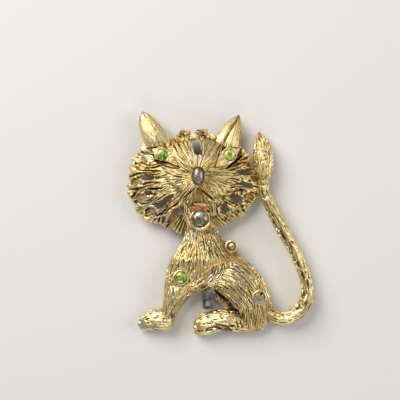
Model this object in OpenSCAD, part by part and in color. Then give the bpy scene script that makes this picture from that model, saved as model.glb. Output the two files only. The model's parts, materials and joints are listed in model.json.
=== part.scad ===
// Brooch in the shape of a seated cat, cast in two pieces, set with stones, with a pin bar on its back.
// It lies face up: X runs to the viewer's right, Y towards the ears and Z up out of the face.
// Z = 0 is the surface that it lies on. The origin is at the middle of the figure, on that surface.

/* [Figure] */
// Width of the figure, from the ruff to the tail
figure_w = 42.3; // [36:0.1:50]
// Height of the figure, from the hind toes to the ear tip
figure_h = 50.9; // [44:0.1:60]
// Height of the chest above the surface
chest_z = 5.6; // [5:0.1:7]
// Height of the body's back rim above the surface
rim_z = 1.0; // [0.6:0.1:1.4]
// Wall of the body around its hollow back
body_wall = 1.3; // [0.8:0.1:2]
// Depth of the grooves between the fur ribs
fur_depth = 0.3; // [0.1:0.05:0.45]
// Width of the tail
tail_w = 2.8; // [2.2:0.1:3.4]
// Radius of a toe
toe_r = 0.75; // [0.5:0.05:0.9]
// Radius of a lock of the tail's tuft
lock_r = 0.4; // [0.2:0.05:0.6]

/* [Head] */
// Radius of the ruff around the nose
ruff_r = 13.5; // [12:0.1:15]
// Height of the face above the surface
face_z = 8.6; // [7.6:0.1:10]
// Height of the ears' backs above the surface
ear_z = 2.0; // [1.4:0.1:2.6]
// Wall of the hollow head
head_wall = 1.2; // [0.9:0.1:1.6]
// Number of fur rays around the face
rays = 48; // [32:1:56]
// Radius of the muzzle's pads
pad_r = 2.2; // [1.8:0.1:2.6]
// Radius of the cheeks, the jaw and the lips
jaw_r = 0.9; // [0.7:0.05:1.1]
// Width of the nose
nose_w = 2.5; // [1.8:0.1:3.2]
// Length of the nose
nose_l = 3.8; // [3:0.1:4.6]
// Width of the mouth's enamel
mouth_w = 3.3; // [2.4:0.1:4]
// Height of the mouth's enamel
mouth_h = 1.0; // [0.6:0.1:1.3]
// Depth of the mouth's enamel
mouth_depth = 0.5; // [0.3:0.05:0.7]

/* [Stones and cups] */
// Diameter of the eye stones
eye_d = 2.7; // [2:0.1:3.2]
// Diameter of the chest stone
chest_d = 2.7; // [2:0.1:3.4]
// Diameter of the chin stone
chin_d = 3.8; // [3:0.1:4.4]
// Diameter of the empty cup on the shoulder
shoulder_d = 2.7; // [2:0.1:3.4]
// Diameter of the empty cup on the haunch
haunch_d = 3.2; // [2.4:0.1:3.8]
// Wall of a cup, collar or setting
seat_wall = 0.35; // [0.25:0.05:0.5]
// Gap between a set piece and its seat
seat_gap = 0.05; // [0.03:0.01:0.1]

/* [Pin] */
// Length of the pin's bar
pin_l = 25.4; // [22:0.1:27]
// Width of the pin's bar
pin_w = 2.6; // [2:0.1:3.2]
// Thickness of the pin's bar
pin_t = 0.6; // [0.4:0.1:0.8]
// Height of the bar's underside above the surface
pin_z = 2.3; // [2.1:0.1:2.4]
// Diameter of the holes in the bar
pin_hole_d = 1.2; // [0.8:0.1:1.5]
// Diameter of the stem
stem_d = 0.8; // [0.6:0.1:1]
// Gap between the bar and the castings
pin_gap = 0.05; // [0.03:0.01:0.1]

/* [Hidden] */

GOLD = "#c9b06a";
GREEN = "#8fd15f";
GREY = "#8c8c92";
RED = "#b8382c";
STEEL = "#9a9a9a";

// Depth below the surface that a cutting solid reaches, and how far cuts run past a face
UNDER = 3;
PAST = 0.01;

// Sections of the body. Each row is a rung across the limb, in hundredths of the figure's width and height
// from its lower left corner, and the limb's height there as a share of the chest's.
// Columns: first side x, first side y, second side x, second side y, height
NECK_CHEST = [
    [30.8, 60.9, 45.6, 60.9, 0.62],
    [30.2, 54.3, 46.7, 54.7, 0.72],
    [30.0, 47.7, 47.7, 47.7, 0.84],
    [29.2, 43.3, 50.9, 43.5, 0.90],
    [26.0, 38.6, 56.8, 38.4, 0.96],
    [22.3, 33.6, 63.1, 33.6, 1.00],
    [20.2, 28.3, 63.7, 27.8, 0.96],
    [19.3, 23.8, 55.2, 23.4, 0.90],
    [19.1, 19.9, 38.2, 19.9, 0.80]];
FRONT_LEG = [
    [19.4, 25.6, 39.8, 25.6, 0.78],
    [19.1, 19.9, 36.9, 19.9, 0.84],
    [18.8, 17.2, 32.7, 17.2, 0.82],
    [18.3, 13.7, 29.2, 13.5, 0.80],
    [17.5, 10.6, 26.5, 10.4, 0.78],
    [17.0, 7.5, 24.7, 7.5, 0.74],
    [16.4, 4.4, 23.3, 4.4, 0.60]];
FRONT_PAW = [
    [24.9, 7.1, 24.9, 8.8, 0.45],
    [23.1, 3.1, 22.3, 11.9, 0.72],
    [18.6, 2.6, 17.5, 12.4, 0.80],
    [13.8, 2.6, 13.3, 11.7, 0.76],
    [9.5, 2.8, 9.3, 10.4, 0.66],
    [6.9, 3.1, 6.9, 8.2, 0.52],
    [5.5, 4.0, 5.5, 6.4, 0.30]];
HAUNCH = [
    [41.1, 24.3, 43.0, 28.5, 0.55],
    [43.2, 22.1, 49.9, 32.5, 0.80],
    [46.7, 19.9, 57.3, 35.8, 0.95],
    [50.9, 17.2, 64.7, 33.1, 1.06],
    [54.6, 14.6, 71.1, 26.9, 1.10],
    [57.3, 12.1, 75.3, 19.9, 1.06],
    [58.9, 9.3, 76.9, 14.8, 0.96],
    [59.4, 6.2, 76.4, 10.2, 0.86],
    [59.9, 3.3, 74.8, 5.7, 0.70],
    [61.5, 1.5, 72.1, 2.9, 0.50]];
HIND_FOOT = [
    [64.7, 1.5, 65.8, 8.8, 0.62],
    [58.4, 1.6, 58.4, 11.5, 0.74],
    [52.5, 2.0, 52.5, 12.1, 0.78],
    [46.7, 1.5, 46.2, 11.3, 0.74],
    [41.4, 0.4, 40.3, 10.2, 0.68],
    [37.7, 0.2, 36.9, 8.4, 0.56],
    [35.3, 0.9, 34.9, 6.0, 0.38]];
BELLY = [
    [36.9, 19.4, 37.7, 28.3, 0.72],
    [40.8, 18.5, 45.6, 25.6, 0.72],
    [45.6, 16.8, 51.5, 22.1, 0.68],
    [49.3, 14.6, 55.7, 18.5, 0.64],
    [52.5, 11.9, 58.9, 15.0, 0.60]];
TUFT = [
    [69.9, 90.8, 70.8, 90.9, 0.30],
    [68.4, 88.7, 73.2, 89.0, 0.55],
    [67.6, 85.2, 76.4, 85.2, 0.75],
    [66.7, 80.4, 78.2, 80.1, 0.85],
    [66.9, 75.9, 77.8, 75.9, 0.85],
    [68.4, 71.5, 76.4, 71.7, 0.80],
    [69.5, 66.2, 75.2, 66.7, 0.72]];

// Middle line of the tail, from the tuft down to the haunch, in the same hundredths.
// Columns: x, y, width as a share of the tail's, height as a share of the chest's
TAIL = [
    [72.4, 67.1, 0.89, 0.72],
    [72.7, 64.0, 0.89, 0.72],
    [74.7, 60.7, 0.93, 0.75],
    [78.0, 54.7, 1.00, 0.78],
    [83.0, 46.8, 1.02, 0.80],
    [88.6, 38.9, 0.98, 0.80],
    [92.3, 32.0, 0.97, 0.80],
    [95.2, 25.2, 0.98, 0.80],
    [96.1, 19.4, 1.05, 0.80],
    [94.4, 14.1, 1.10, 0.80],
    [89.9, 9.9, 1.08, 0.78],
    [83.8, 7.7, 1.00, 0.74],
    [78.5, 8.6, 1.05, 0.70],
    [74.3, 11.0, 1.29, 0.66]];

// Toes of the two paws. Columns: back end x, back end y, tip x, tip y, height as a share of the chest's
TOES = [
    [11.0, 9.3, 7.6, 7.4, 0.58],
    [10.4, 6.6, 6.6, 5.6, 0.56],
    [11.0, 4.2, 7.4, 4.1, 0.52],
    [41.0, 7.6, 37.2, 6.2, 0.58],
    [40.6, 4.8, 36.4, 3.8, 0.55],
    [42.0, 2.4, 38.0, 1.9, 0.50]];

// Locks of hair on the tuft. Columns: root x, root y, tip x, tip y, height as a share of the chest's
LOCKS = [
    [71.0, 72.0, 69.0, 82.0, 0.86],
    [72.4, 72.0, 71.4, 87.0, 0.86],
    [73.8, 72.0, 74.6, 84.0, 0.86],
    [74.6, 71.0, 76.0, 78.0, 0.82]];

// Ribs across the chest, the tail and the tuft
CHEST_RIBS = 8;
TAIL_RIBS = 3;
TUFT_RIBS = 4;

// Places on the figure, in the same hundredths
HEAD_AT = [37.4, 71.1];
CHEST_STONE_AT = [28.1, 26.5];
SHOULDER_CUP_AT = [54.8, 40.2];
HAUNCH_CUP_AT = [69.7, 17.9];
PIN_AT = [42.7, 37.0];

// Tops of the cups and collars, as shares of the chest's height
CHEST_STONE_RISE = 0.98;
SHOULDER_CUP_RISE = 0.98;
HAUNCH_CUP_RISE = 1.08;
THROAT_RISE = 0.79;

// Outline of the ruff around the nose. Columns: angle from the viewer's right, reach as a share of its radius
OUTLINE = [
    [0, 0.97], [20, 0.90], [40, 0.85], [60, 0.75], [90, 0.73], [120, 0.75], [145, 1.05], [163, 1.10],
    [180, 1.18], [200, 1.19], [214, 1.15], [231, 1.05], [249, 0.96], [270, 0.84], [303, 0.96], [318, 0.98],
    [340, 1.05], [350, 1.02], [360, 0.97]];

// Swell of the face. Columns: share of the reach from the nose out, share of the face's height
DOME = [[0, 1.00], [0.2, 0.99], [0.4, 0.93], [0.6, 0.81], [0.8, 0.62], [0.9, 0.50], [1, 0.36]];

// Rings of the face's outer side from the nose out, and of its inner side back again, as shares of the reach
OUTER_RINGS = [0.12, 0.26, 0.4, 0.54, 0.68, 0.8, 0.9, 1];
INNER_RINGS = [0.94, 0.8, 0.5, 0.2];

// Share of half a ray's angle by which the first ray is turned from the viewer's right
RAY_START = 0.45;

// Share of the reach that a groove between two rays has at the jagged edge
NOTCH = 0.93;

// Gaps through the ruff. Columns: angle, start and end as shares of the ruff's radius, half width in degrees
GAPS = [
    [93, 0.38, 0.58, 8], [72, 0.55, 0.62, 4], [182, 0.72, 0.96, 3], [199, 0.80, 0.93, 2.4], [217, 0.50, 0.88, 4.2],
    [238, 0.62, 0.80, 4.4], [7, 0.64, 0.80, 3.2], [351.5, 0.66, 0.88, 3.4], [329.5, 0.62, 0.82, 5.2],
    [309.6, 0.62, 0.77, 5]];

// Ears, rung by rung from the tip, as shares of the ruff's radius about the nose.
// Columns: first side x, first side y, second side x, second side y, height as a share of the face's
EAR_LEFT = [
    [-0.96, 1.08, -0.92, 1.09, 0.34],
    [-0.99, 1.00, -0.81, 1.04, 0.42],
    [-1.00, 0.88, -0.66, 0.89, 0.50],
    [-0.98, 0.77, -0.56, 0.78, 0.56],
    [-0.94, 0.63, -0.47, 0.68, 0.60],
    [-0.88, 0.47, -0.39, 0.53, 0.60]];
EAR_RIGHT = [
    [0.67, 1.04, 0.69, 1.04, 0.34],
    [0.54, 0.96, 0.72, 0.93, 0.42],
    [0.42, 0.86, 0.73, 0.80, 0.50],
    [0.35, 0.76, 0.72, 0.67, 0.56],
    [0.27, 0.68, 0.70, 0.55, 0.60],
    [0.19, 0.57, 0.69, 0.42, 0.60]];

// Eyes, as shares of the ruff's radius about the nose. Columns: stone x, y, inner corner x, y, outer corner x, y
EYE_LEFT = [-0.60, 0.35, -0.36, 0.16, -0.74, 0.43];
EYE_RIGHT = [0.52, 0.35, 0.28, 0.15, 0.66, 0.44];

// Height of an eye's girdle over the face, depth of its plate, and how its corners rise and fall
EYE_STAND = 0.5;
EYE_DEPTH = 2.2;
EYE_INNER_RISE = 0.7;
EYE_OUTER_FALL = 0.6;

// Tufts on top of the head, in the same shares. Columns: first end x, first end y, second end x, second end y
TOP_TUFTS = [
    [-0.26, 0.74, -0.26, 0.60], [-0.17, 0.73, -0.19, 0.60], [-0.14, 0.63, -0.02, 0.66], [-0.01, 0.74, 0.12, 0.74],
    [0.06, 0.72, 0.06, 0.60], [0.17, 0.66, 0.26, 0.65]];

// Radius of such a tuft, and the heights of its two ends as shares of the face's
TOP_TUFT_R = 0.55;
TOP_TUFT_RISE = [0.50, 0.54];

// Muzzle, mouth and jaw, in the same shares. Columns: first end x, first end y, second end x, second end y
PADS = [[-0.19, -0.19, -0.15, -0.33], [0.20, -0.18, 0.23, -0.31]];
CHEEKS = [[-0.22, -0.42, -0.21, -0.60], [0.24, -0.42, 0.24, -0.62]];
JAWS = [[-0.21, -0.60, -0.12, -0.82], [0.24, -0.62, 0.16, -0.84]];
LIPS = [-0.12, -0.46, 0.14, -0.46];
CHIN_AT = [0.03, -0.71];
MOUTH_AT = [0.0, -0.53];

// Shape of a round stone, as shares of its diameter
CROWN = 0.17;
GIRDLE = 0.05;
PAVILION = 0.36;
TABLE = 0.56;
CULET = 0.12;

// Side of the pin's hinge block and length of its catch
HINGE_SIDE = 2.4;
CATCH_L = 1.2;

// Heights that are worked out
recess_z = pin_z + pin_t + pin_gap;
chin_girdle_z = THROAT_RISE * chest_z + 2 * seat_gap + seat_wall + PAVILION * chin_d;
mouth_z = 0.84 * face_z;
nose_z = face_z + 0.1;
jaw_z = chin_girdle_z - 0.3;
stem_z = pin_z / 2;

function place(at) = [(at.x - 50) / 100 * figure_w, (at.y - 50) / 100 * figure_h];
function on_head(at) = place(HEAD_AT) + ruff_r * at;
function reach(a) = lookup((a + 360) % 360, OUTLINE) * ruff_r;
function dome(s) = lookup(s, DOME) * face_z;
function dome_at(at) = dome(min(1, norm(at) * ruff_r / reach(atan2(at.y, at.x))));
function nth(t, i) = t[max(0, min(len(t) - 1, i))];

// Point at share t between b and c on a smooth curve through four rows
function between(a, b, c, d, t) =
    0.5 * (2 * b + (c - a) * t + (2 * a - 5 * b + 4 * c - d) * t * t + (3 * b - 3 * c + d - a) * t * t * t);

// Rows of a table with smooth rows added between them
function smooth(t, steps) = [
    for (i = [0:len(t) - 2])
        for (k = [0:steps - 1])
            between(nth(t, i - 1), t[i], t[i + 1], nth(t, i + 2), k / steps),
    t[len(t) - 1]];

// A rung is [first side, second side, height above the surface], in millimetres
function body_rungs(t, steps = 3) =
    [for (g = smooth(t, steps)) [place([g[0], g[1]]), place([g[2], g[3]]), g[4] * chest_z]];
function head_rungs(t, steps = 3) =
    [for (g = smooth(t, steps)) [on_head([g[0], g[1]]), on_head([g[2], g[3]]), g[4] * face_z]];
function tail_rungs(steps = 3) = let (t = smooth(TAIL, steps)) [
    for (i = [0:len(t) - 1])
        let (
            way = place(nth(t, i + 1)) - place(nth(t, i - 1)),
            side = [-way.y, way.x] / norm(way) * t[i][2] * tail_w / 2)
        [place(t[i]) - side, place(t[i]) + side, t[i][3] * chest_z]];
function some(t, first, last) = [for (i = [first:last]) t[i]];

// Arched section over one rung: sides that start at base, a top with ribs, never above the ceiling.
// A foot below the base carries the sides straight down to it, for a solid that cuts.
function section(rung, ribs, depth, grow, base, foot, ceiling) =
    let (
        middle = (rung[0] + rung[1]) / 2,
        half = (rung[1] - rung[0]) / 2,
        wide = half * max(0.1, 1 + grow / norm(half)),
        rise = max(0.2, rung[2] + grow - base),
        last = 2 * ribs,
        arch = [for (k = [0:last])
            let (
                a = 180 - k * 180 / last,
                groove = k % 2 == 1 ? depth * min(1, norm(half) / 2) : 0,
                z = base + max(0, rise * pow(sin(a), 0.6) - groove))
            [middle.x + wide.x * cos(a), middle.y + wide.y * cos(a), min(ceiling, z)]])
    foot < base ? [[arch[0].x, arch[0].y, foot], each arch, [arch[last].x, arch[last].y, foot]] : arch;

// Closed solid through sections that all have the same number of points
module skin(sections) {
    n = len(sections[0]);
    last = len(sections) - 1;
    across = sections[0][n - 1] - sections[0][0];
    along = sections[1][0] - sections[0][0];
    flipped = across.x * along.y - across.y * along.x > 0;
    sides = [
        for (i = [0:last - 1])
            for (k = [0:n - 1])
                let (a = i * n + k, b = i * n + (k + 1) % n)
                each [[a, b, b + n], [a, b + n, a + n]]];
    ends = [[for (k = [0:n - 1]) n - 1 - k], [for (k = [0:n - 1]) last * n + k]];
    faces = concat(sides, ends);
    polyhedron(
        [for (s = sections) each s],
        flipped ? [for (f = faces) [for (k = [0:len(f) - 1]) f[len(f) - 1 - k]]] : faces);
}

// Limb through a list of rungs. A positive grow makes it wider and higher, a negative one thinner.
module limb(rungs, ribs = 5, depth = fur_depth, grow = 0, base = rim_z, foot = rim_z, ceiling = 100) {
    skin([for (r = rungs) section(r, ribs, depth, grow, base, foot, ceiling)]);
}

// Rounded bar between two points
module link(a, b, r, sides = 8) {
    hull() {
        translate(a) sphere(r = r, $fn = sides);
        translate(b) sphere(r = r, $fn = sides);
    }
}

// Round cut stone with its girdle's lower edge at z = 0: a table and sixteen facets above, eight below
module stone(d) {
    hull() {
        cylinder(d = d, h = GIRDLE * d, $fn = 16);
        cylinder(d = TABLE * d, h = (GIRDLE + CROWN) * d, $fn = 8);
        translate([0, 0, -PAVILION * d]) cylinder(d = CULET * d, h = PAVILION * d, $fn = 8);
    }
}

// Room for a stone and its gap, open upwards
module seat(d) {
    depth = PAVILION * d + seat_gap;
    cylinder(d = d + 2 * seat_gap, h = UNDER, $fn = 32);
    translate([0, 0, -depth])
        cylinder(d1 = CULET * d + 2 * seat_gap, d2 = d + 2 * seat_gap, h = depth + PAST, $fn = 32);
}

// Cup without its stone: a tapered collar down to foot_z with a hollow cone in its top
module cup_wall(d, top_z, foot_z) {
    translate([0, 0, foot_z]) cylinder(d1 = 0.8 * d, d2 = d, h = top_z - foot_z, $fn = 24);
}
module cup_hollow(d, top_z) {
    inner = d - 2 * seat_wall;
    translate([0, 0, top_z - 0.4 * d]) cylinder(d1 = 0.4 * inner, d2 = inner, h = 0.4 * d + PAST, $fn = 24);
    translate([0, 0, top_z - 0.55 * d]) cylinder(d = 0.3 * inner, h = d, $fn = 12);
}

// Rounded ridge for one row of the toes or the locks, sloping down to its tip
module ridge(t, r) {
    a = place([t[0], t[1]]);
    b = place([t[2], t[3]]);
    z = t[4] * chest_z - r;
    link([a.x, a.y, z], [b.x, b.y, z - 0.4 * r], r);
}

module toes() {
    for (t = TOES) ridge(t, toe_r);
}

module locks(grow) {
    translate([0, 0, grow])
        for (t = LOCKS) ridge(t, lock_r + grow);
}

// Room for the pin's bar, hinge and catch in the back of a casting
module pin_room() {
    translate([place(PIN_AT).x, place(PIN_AT).y, 0])
        translate([-pin_w / 2 - pin_gap, -pin_l / 2 - pin_gap, -UNDER])
            cube([pin_w + 2 * pin_gap, pin_l + 2 * pin_gap, UNDER + recess_z]);
}

// Hollow back of the chest and the haunch
module recess() {
    chest = some(body_rungs(NECK_CHEST, 2), 5, 14);
    haunch = some(body_rungs(HAUNCH, 2), 3, 13);
    for (rungs = [chest, haunch])
        limb(rungs, ribs = 3, depth = 0, grow = -body_wall, foot = -UNDER, ceiling = recess_z);
}

module body() {
    color(GOLD)
        difference() {
            union() {
                limb(body_rungs(NECK_CHEST), ribs = CHEST_RIBS);
                limb(body_rungs(FRONT_LEG), ribs = 5);
                limb(body_rungs(FRONT_PAW), ribs = 4);
                limb(body_rungs(HAUNCH), ribs = 7);
                limb(body_rungs(HIND_FOOT), ribs = 4);
                limb(body_rungs(BELLY, 2), ribs = 3);
                limb(tail_rungs(), ribs = TAIL_RIBS);
                limb(body_rungs(TUFT), ribs = TUFT_RIBS);
                toes();
                locks(0);
                translate(place(CHEST_STONE_AT))
                    cup_wall(chest_d + 2 * seat_wall, CHEST_STONE_RISE * chest_z, rim_z);
                translate(place(SHOULDER_CUP_AT))
                    cup_wall(shoulder_d, SHOULDER_CUP_RISE * chest_z, rim_z);
                translate(place(HAUNCH_CUP_AT))
                    cup_wall(haunch_d, HAUNCH_CUP_RISE * chest_z, recess_z);
            }
            recess();
            pin_room();
            translate([place(CHEST_STONE_AT).x, place(CHEST_STONE_AT).y, chest_girdle_z()]) seat(chest_d);
            translate(place(SHOULDER_CUP_AT)) cup_hollow(shoulder_d, SHOULDER_CUP_RISE * chest_z);
            translate(place(HAUNCH_CUP_AT)) cup_hollow(haunch_d, HAUNCH_CUP_RISE * chest_z);
        }
}

function chest_girdle_z() = CHEST_STONE_RISE * chest_z - GIRDLE * chest_d;
function eye_girdle_z(eye) = dome_at([eye[0], eye[1]]) + EYE_STAND;

function eye_at(eye) = [on_head([eye[0], eye[1]]).x, on_head([eye[0], eye[1]]).y, eye_girdle_z(eye)];

// Hollow dome of the face, with one ridge for each ray
module face_shell() {
    count = 2 * rays;
    function ring(s, drop, flat) = [
        for (j = [0:count - 1])
            let (
                a = (j + RAY_START) * 360 / count,
                groove = j % 2 == 1 && !flat,
                r = s * reach(a) * (groove && s == 1 ? NOTCH : 1),
                z = dome(s) - drop - (groove ? fur_depth * min(1, 2 * s) : 0))
            [place(HEAD_AT).x + r * cos(a), place(HEAD_AT).y + r * sin(a), z]];
    outer = [for (s = OUTER_RINGS) each ring(s, 0, false)];
    inner = [for (s = INNER_RINGS) each ring(s, head_wall, true)];
    top = [place(HEAD_AT).x, place(HEAD_AT).y, dome(0)];
    points = concat(outer, inner, [top, top - [0, 0, head_wall]]);
    rings = len(OUTER_RINGS) + len(INNER_RINGS);
    sides = [
        for (i = [0:rings - 2])
            for (j = [0:count - 1])
                let (a = i * count + j, b = i * count + (j + 1) % count)
                each [[a, b, b + count], [a, b + count, a + count]]];
    caps = [
        for (j = [0:count - 1])
            let (k = (j + 1) % count)
            each [[rings * count, k, j], [rings * count + 1, (rings - 1) * count + j, (rings - 1) * count + k]]];
    polyhedron(points, concat(sides, caps));
}

// Pointed almond plate around an eye, with the stone's collar in it
module eye_setting(eye) {
    height = EYE_DEPTH;
    translate([0, 0, eye_girdle_z(eye) + GIRDLE * eye_d - height])
        hull() {
            translate(on_head([eye[0], eye[1]])) cylinder(d = eye_d + 2 * seat_wall, h = height, $fn = 24);
            translate(on_head([eye[2], eye[3]])) cylinder(r = seat_wall, h = height + EYE_INNER_RISE, $fn = 12);
            translate(on_head([eye[4], eye[5]])) cylinder(r = seat_wall, h = height - EYE_OUTER_FALL, $fn = 12);
        }
}

// Long gap between two rays, cut straight through
module ray_gap(g) {
    a = g[0];
    near = g[1] * ruff_r;
    far = g[2] * ruff_r;
    near_r = near * sin(g[3]);
    far_r = far * sin(g[3]);
    translate(place(HEAD_AT))
        hull() {
            translate((near + near_r) * [cos(a), sin(a)]) cylinder(r = near_r, h = 2 * face_z, $fn = 8);
            translate((far - far_r) * [cos(a), sin(a)]) cylinder(r = far_r, h = 2 * face_z, $fn = 8);
        }
}

// Oval of the nose, grown by some distance, standing on its long side
module nose_form(grow) {
    r = nose_w / 2 + grow;
    l = nose_l / 2 + grow;
    translate([place(HEAD_AT).x, place(HEAD_AT).y, nose_z])
        rotate([90, 0, 0])
            rotate_extrude($fn = 24)
                polygon([for (a = [-90:15:90]) [r * max(0, cos(a)), l * sin(a)]]);
}

// Oval of the mouth, grown by some distance, from low to high about the enamel's top
module mouth_form(grow, low, high) {
    half = (mouth_w - mouth_h) / 2;
    translate([on_head(MOUTH_AT).x, on_head(MOUTH_AT).y, mouth_z + low])
        hull()
            for (s = [-1, 1]) translate([s * half, 0, 0]) cylinder(r = mouth_h / 2 + grow, h = high - low, $fn = 16);
}

// Metal under the mouth, from the lips down to the chin
module mouth_floor() {
    hull() {
        mouth_form(seat_wall, -mouth_depth - 2 * seat_wall, 0);
        translate([on_head(CHIN_AT).x, on_head(CHIN_AT).y, chin_girdle_z - 0.3 * chin_d])
            cylinder(d = 0.8 * chin_d, h = 0.3 * chin_d, $fn = 16);
    }
}

// Tapered cup under the chin stone, up to the top of its girdle
module chin_cup() {
    depth = PAVILION * chin_d + seat_wall;
    translate([on_head(CHIN_AT).x, on_head(CHIN_AT).y, chin_girdle_z - depth])
        cylinder(d1 = 0.7 * chin_d, d2 = chin_d + 2 * seat_wall, h = depth + GIRDLE * chin_d, $fn = 32);
}

// Rounded bar of the head for one row of a table, with a height for each end
module head_link(t, r, z1, z2, sides = 8) {
    a = on_head([t[0], t[1]]);
    b = on_head([t[2], t[3]]);
    link([a.x, a.y, z1], [b.x, b.y, z2], r, sides);
}

module head() {
    color(GOLD)
        difference() {
            union() {
                face_shell();
                limb(head_rungs(EAR_LEFT), ribs = 3, depth = 0, base = ear_z, foot = ear_z);
                limb(head_rungs(EAR_RIGHT), ribs = 4, base = ear_z, foot = ear_z);
                eye_setting(EYE_LEFT);
                eye_setting(EYE_RIGHT);
                for (t = TOP_TUFTS) head_link(t, TOP_TUFT_R, TOP_TUFT_RISE[0] * face_z, TOP_TUFT_RISE[1] * face_z);
                for (t = PADS) head_link(t, pad_r, face_z - pad_r, face_z - 1.15 * pad_r, 12);
                for (t = CHEEKS) head_link(t, jaw_r, mouth_z - 0.6 * jaw_r, jaw_z);
                for (t = JAWS) head_link(t, jaw_r, jaw_z, jaw_z - 0.5 * jaw_r);
                head_link(LIPS, jaw_r, mouth_z - 0.3 * jaw_r, mouth_z - 0.3 * jaw_r);
                mouth_floor();
                chin_cup();
                nose_form(seat_wall);
            }
            for (g = GAPS) ray_gap(g);
            nose_form(seat_gap);
            translate([place(HEAD_AT).x - nose_w, place(HEAD_AT).y - nose_l, nose_z + 0.15 * nose_w])
                cube([2 * nose_w, 2 * nose_l, nose_w]);
            mouth_form(seat_gap, -mouth_depth - seat_gap, UNDER);
            translate([on_head(CHIN_AT).x, on_head(CHIN_AT).y, chin_girdle_z]) seat(chin_d);
            for (eye = [EYE_LEFT, EYE_RIGHT]) translate(eye_at(eye)) seat(eye_d);
            limb(some(body_rungs(NECK_CHEST), 0, 12), CHEST_RIBS, 0, 2 * seat_gap, foot = -UNDER);
            limb(some(tail_rungs(), 0, 12), TAIL_RIBS, 0, 2 * seat_gap, foot = -UNDER);
            limb(body_rungs(TUFT), TUFT_RIBS, 0, 2 * seat_gap, foot = -UNDER);
            locks(2 * seat_gap);
        }
}

module nose() {
    color(GREY) nose_form(0);
}

module mouth_enamel() {
    color(RED) mouth_form(0, -mouth_depth, 0);
}

module chin_stone() {
    color(GREY) translate([on_head(CHIN_AT).x, on_head(CHIN_AT).y, chin_girdle_z]) stone(chin_d);
}

module eye_stone(eye) {
    color(GREEN) translate(eye_at(eye)) stone(eye_d);
}

module chest_stone() {
    color(GREEN) translate([place(CHEST_STONE_AT).x, place(CHEST_STONE_AT).y, chest_girdle_z()]) stone(chest_d);
}

// Bar with a hole near each end, hinge block and stem at the top, hooked catch near the bottom
module pin_back() {
    half = pin_l / 2;
    end_r = pin_w / 2;
    block = HINGE_SIDE;
    catch_w = CATCH_L;
    hinge_y = half - pin_w - block / 2;
    catch_y = -half + pin_w + catch_w;
    color(STEEL)
        translate([place(PIN_AT).x, place(PIN_AT).y, 0]) {
            difference() {
                translate([0, 0, pin_z]) {
                    translate([-end_r, -half + end_r, 0]) cube([pin_w, pin_l - pin_w, pin_t]);
                    for (s = [-1, 1]) translate([0, s * (half - end_r), 0]) cylinder(r = end_r, h = pin_t, $fn = 32);
                }
                for (s = [-1, 1])
                    translate([0, s * (half - end_r), pin_z - 1]) cylinder(d = pin_hole_d, h = pin_t + 2, $fn = 32);
            }
            translate([-block / 2, hinge_y - block / 2, 0]) cube([block, block, pin_z + PAST]);
            translate([0, hinge_y, stem_z])
                rotate([90, 0, 0]) cylinder(d = stem_d, h = hinge_y - catch_y + catch_w, $fn = 24);
            difference() {
                translate([0, catch_y + catch_w / 2, stem_z])
                    rotate([90, 0, 0]) cylinder(r = stem_z, h = catch_w, $fn = 24);
                translate([stem_d / 2, catch_y - catch_w, stem_z - stem_d])
                    cube([stem_z, 2 * catch_w, stem_d / 2]);
            }
        }
}

body();
head();
nose();
mouth_enamel();
chin_stone();
eye_stone(EYE_LEFT);  // eye_stone_left
eye_stone(EYE_RIGHT);  // eye_stone_right
chest_stone();
pin_back();
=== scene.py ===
# %% [markdown]
# # A seated cat brooch in gold-tone metal, set with green stones
# The brooch is two hollow castings, a head and a body, with small stones set in them and a steel pin on
# the back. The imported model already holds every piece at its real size. This lesson gives the castings
# their fur, the stones their sparkle and the metal its worn plating, without moving a piece.

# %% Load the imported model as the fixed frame
import json
import math

import bmesh
import bpy
import numpy as np
from mathutils import Matrix, Vector

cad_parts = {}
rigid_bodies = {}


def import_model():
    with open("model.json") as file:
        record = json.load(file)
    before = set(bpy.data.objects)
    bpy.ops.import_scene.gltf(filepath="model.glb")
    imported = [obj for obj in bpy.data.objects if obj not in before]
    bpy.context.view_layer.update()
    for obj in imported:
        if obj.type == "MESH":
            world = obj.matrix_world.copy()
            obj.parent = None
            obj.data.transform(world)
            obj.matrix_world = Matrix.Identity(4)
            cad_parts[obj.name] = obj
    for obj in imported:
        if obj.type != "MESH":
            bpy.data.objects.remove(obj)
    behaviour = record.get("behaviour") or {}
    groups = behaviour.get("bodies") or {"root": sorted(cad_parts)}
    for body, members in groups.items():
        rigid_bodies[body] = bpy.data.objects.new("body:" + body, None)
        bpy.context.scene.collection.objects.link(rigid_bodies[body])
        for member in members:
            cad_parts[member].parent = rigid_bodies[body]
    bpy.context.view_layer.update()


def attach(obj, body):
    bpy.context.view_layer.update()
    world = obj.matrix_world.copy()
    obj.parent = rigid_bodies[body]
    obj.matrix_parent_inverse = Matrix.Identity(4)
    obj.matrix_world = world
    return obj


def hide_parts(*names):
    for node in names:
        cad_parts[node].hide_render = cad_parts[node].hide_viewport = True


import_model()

# %% [markdown]
# ## Camera, floor and light
# The photo looks straight down on a brooch that lies on its back. A long lens high above keeps its outline
# free of perspective, so 100 pixels stand for the same length all over the picture.
# Metal shows what it mirrors, and a bare grey room makes it look like clay. So one large soft box stands at
# the upper left, a weaker one at the right and a low one at the foot of the picture, and the room is dim.

# %% Camera straight above the figure
MM = 0.001
CAMERA_AT = Vector((-4.95, 5.40, 254)) * MM
LENS = 100
SENSOR = 36

camera = bpy.data.objects.new("camera", bpy.data.cameras.new("camera"))
camera.location = CAMERA_AT
camera.data.lens = LENS
camera.data.sensor_width = SENSOR
camera.data.clip_start = 0.01
bpy.context.scene.collection.objects.link(camera)
bpy.context.scene.camera = camera
print("the view is", round(SENSOR / LENS * CAMERA_AT.z / MM, 1), "mm wide at the floor")


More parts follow.
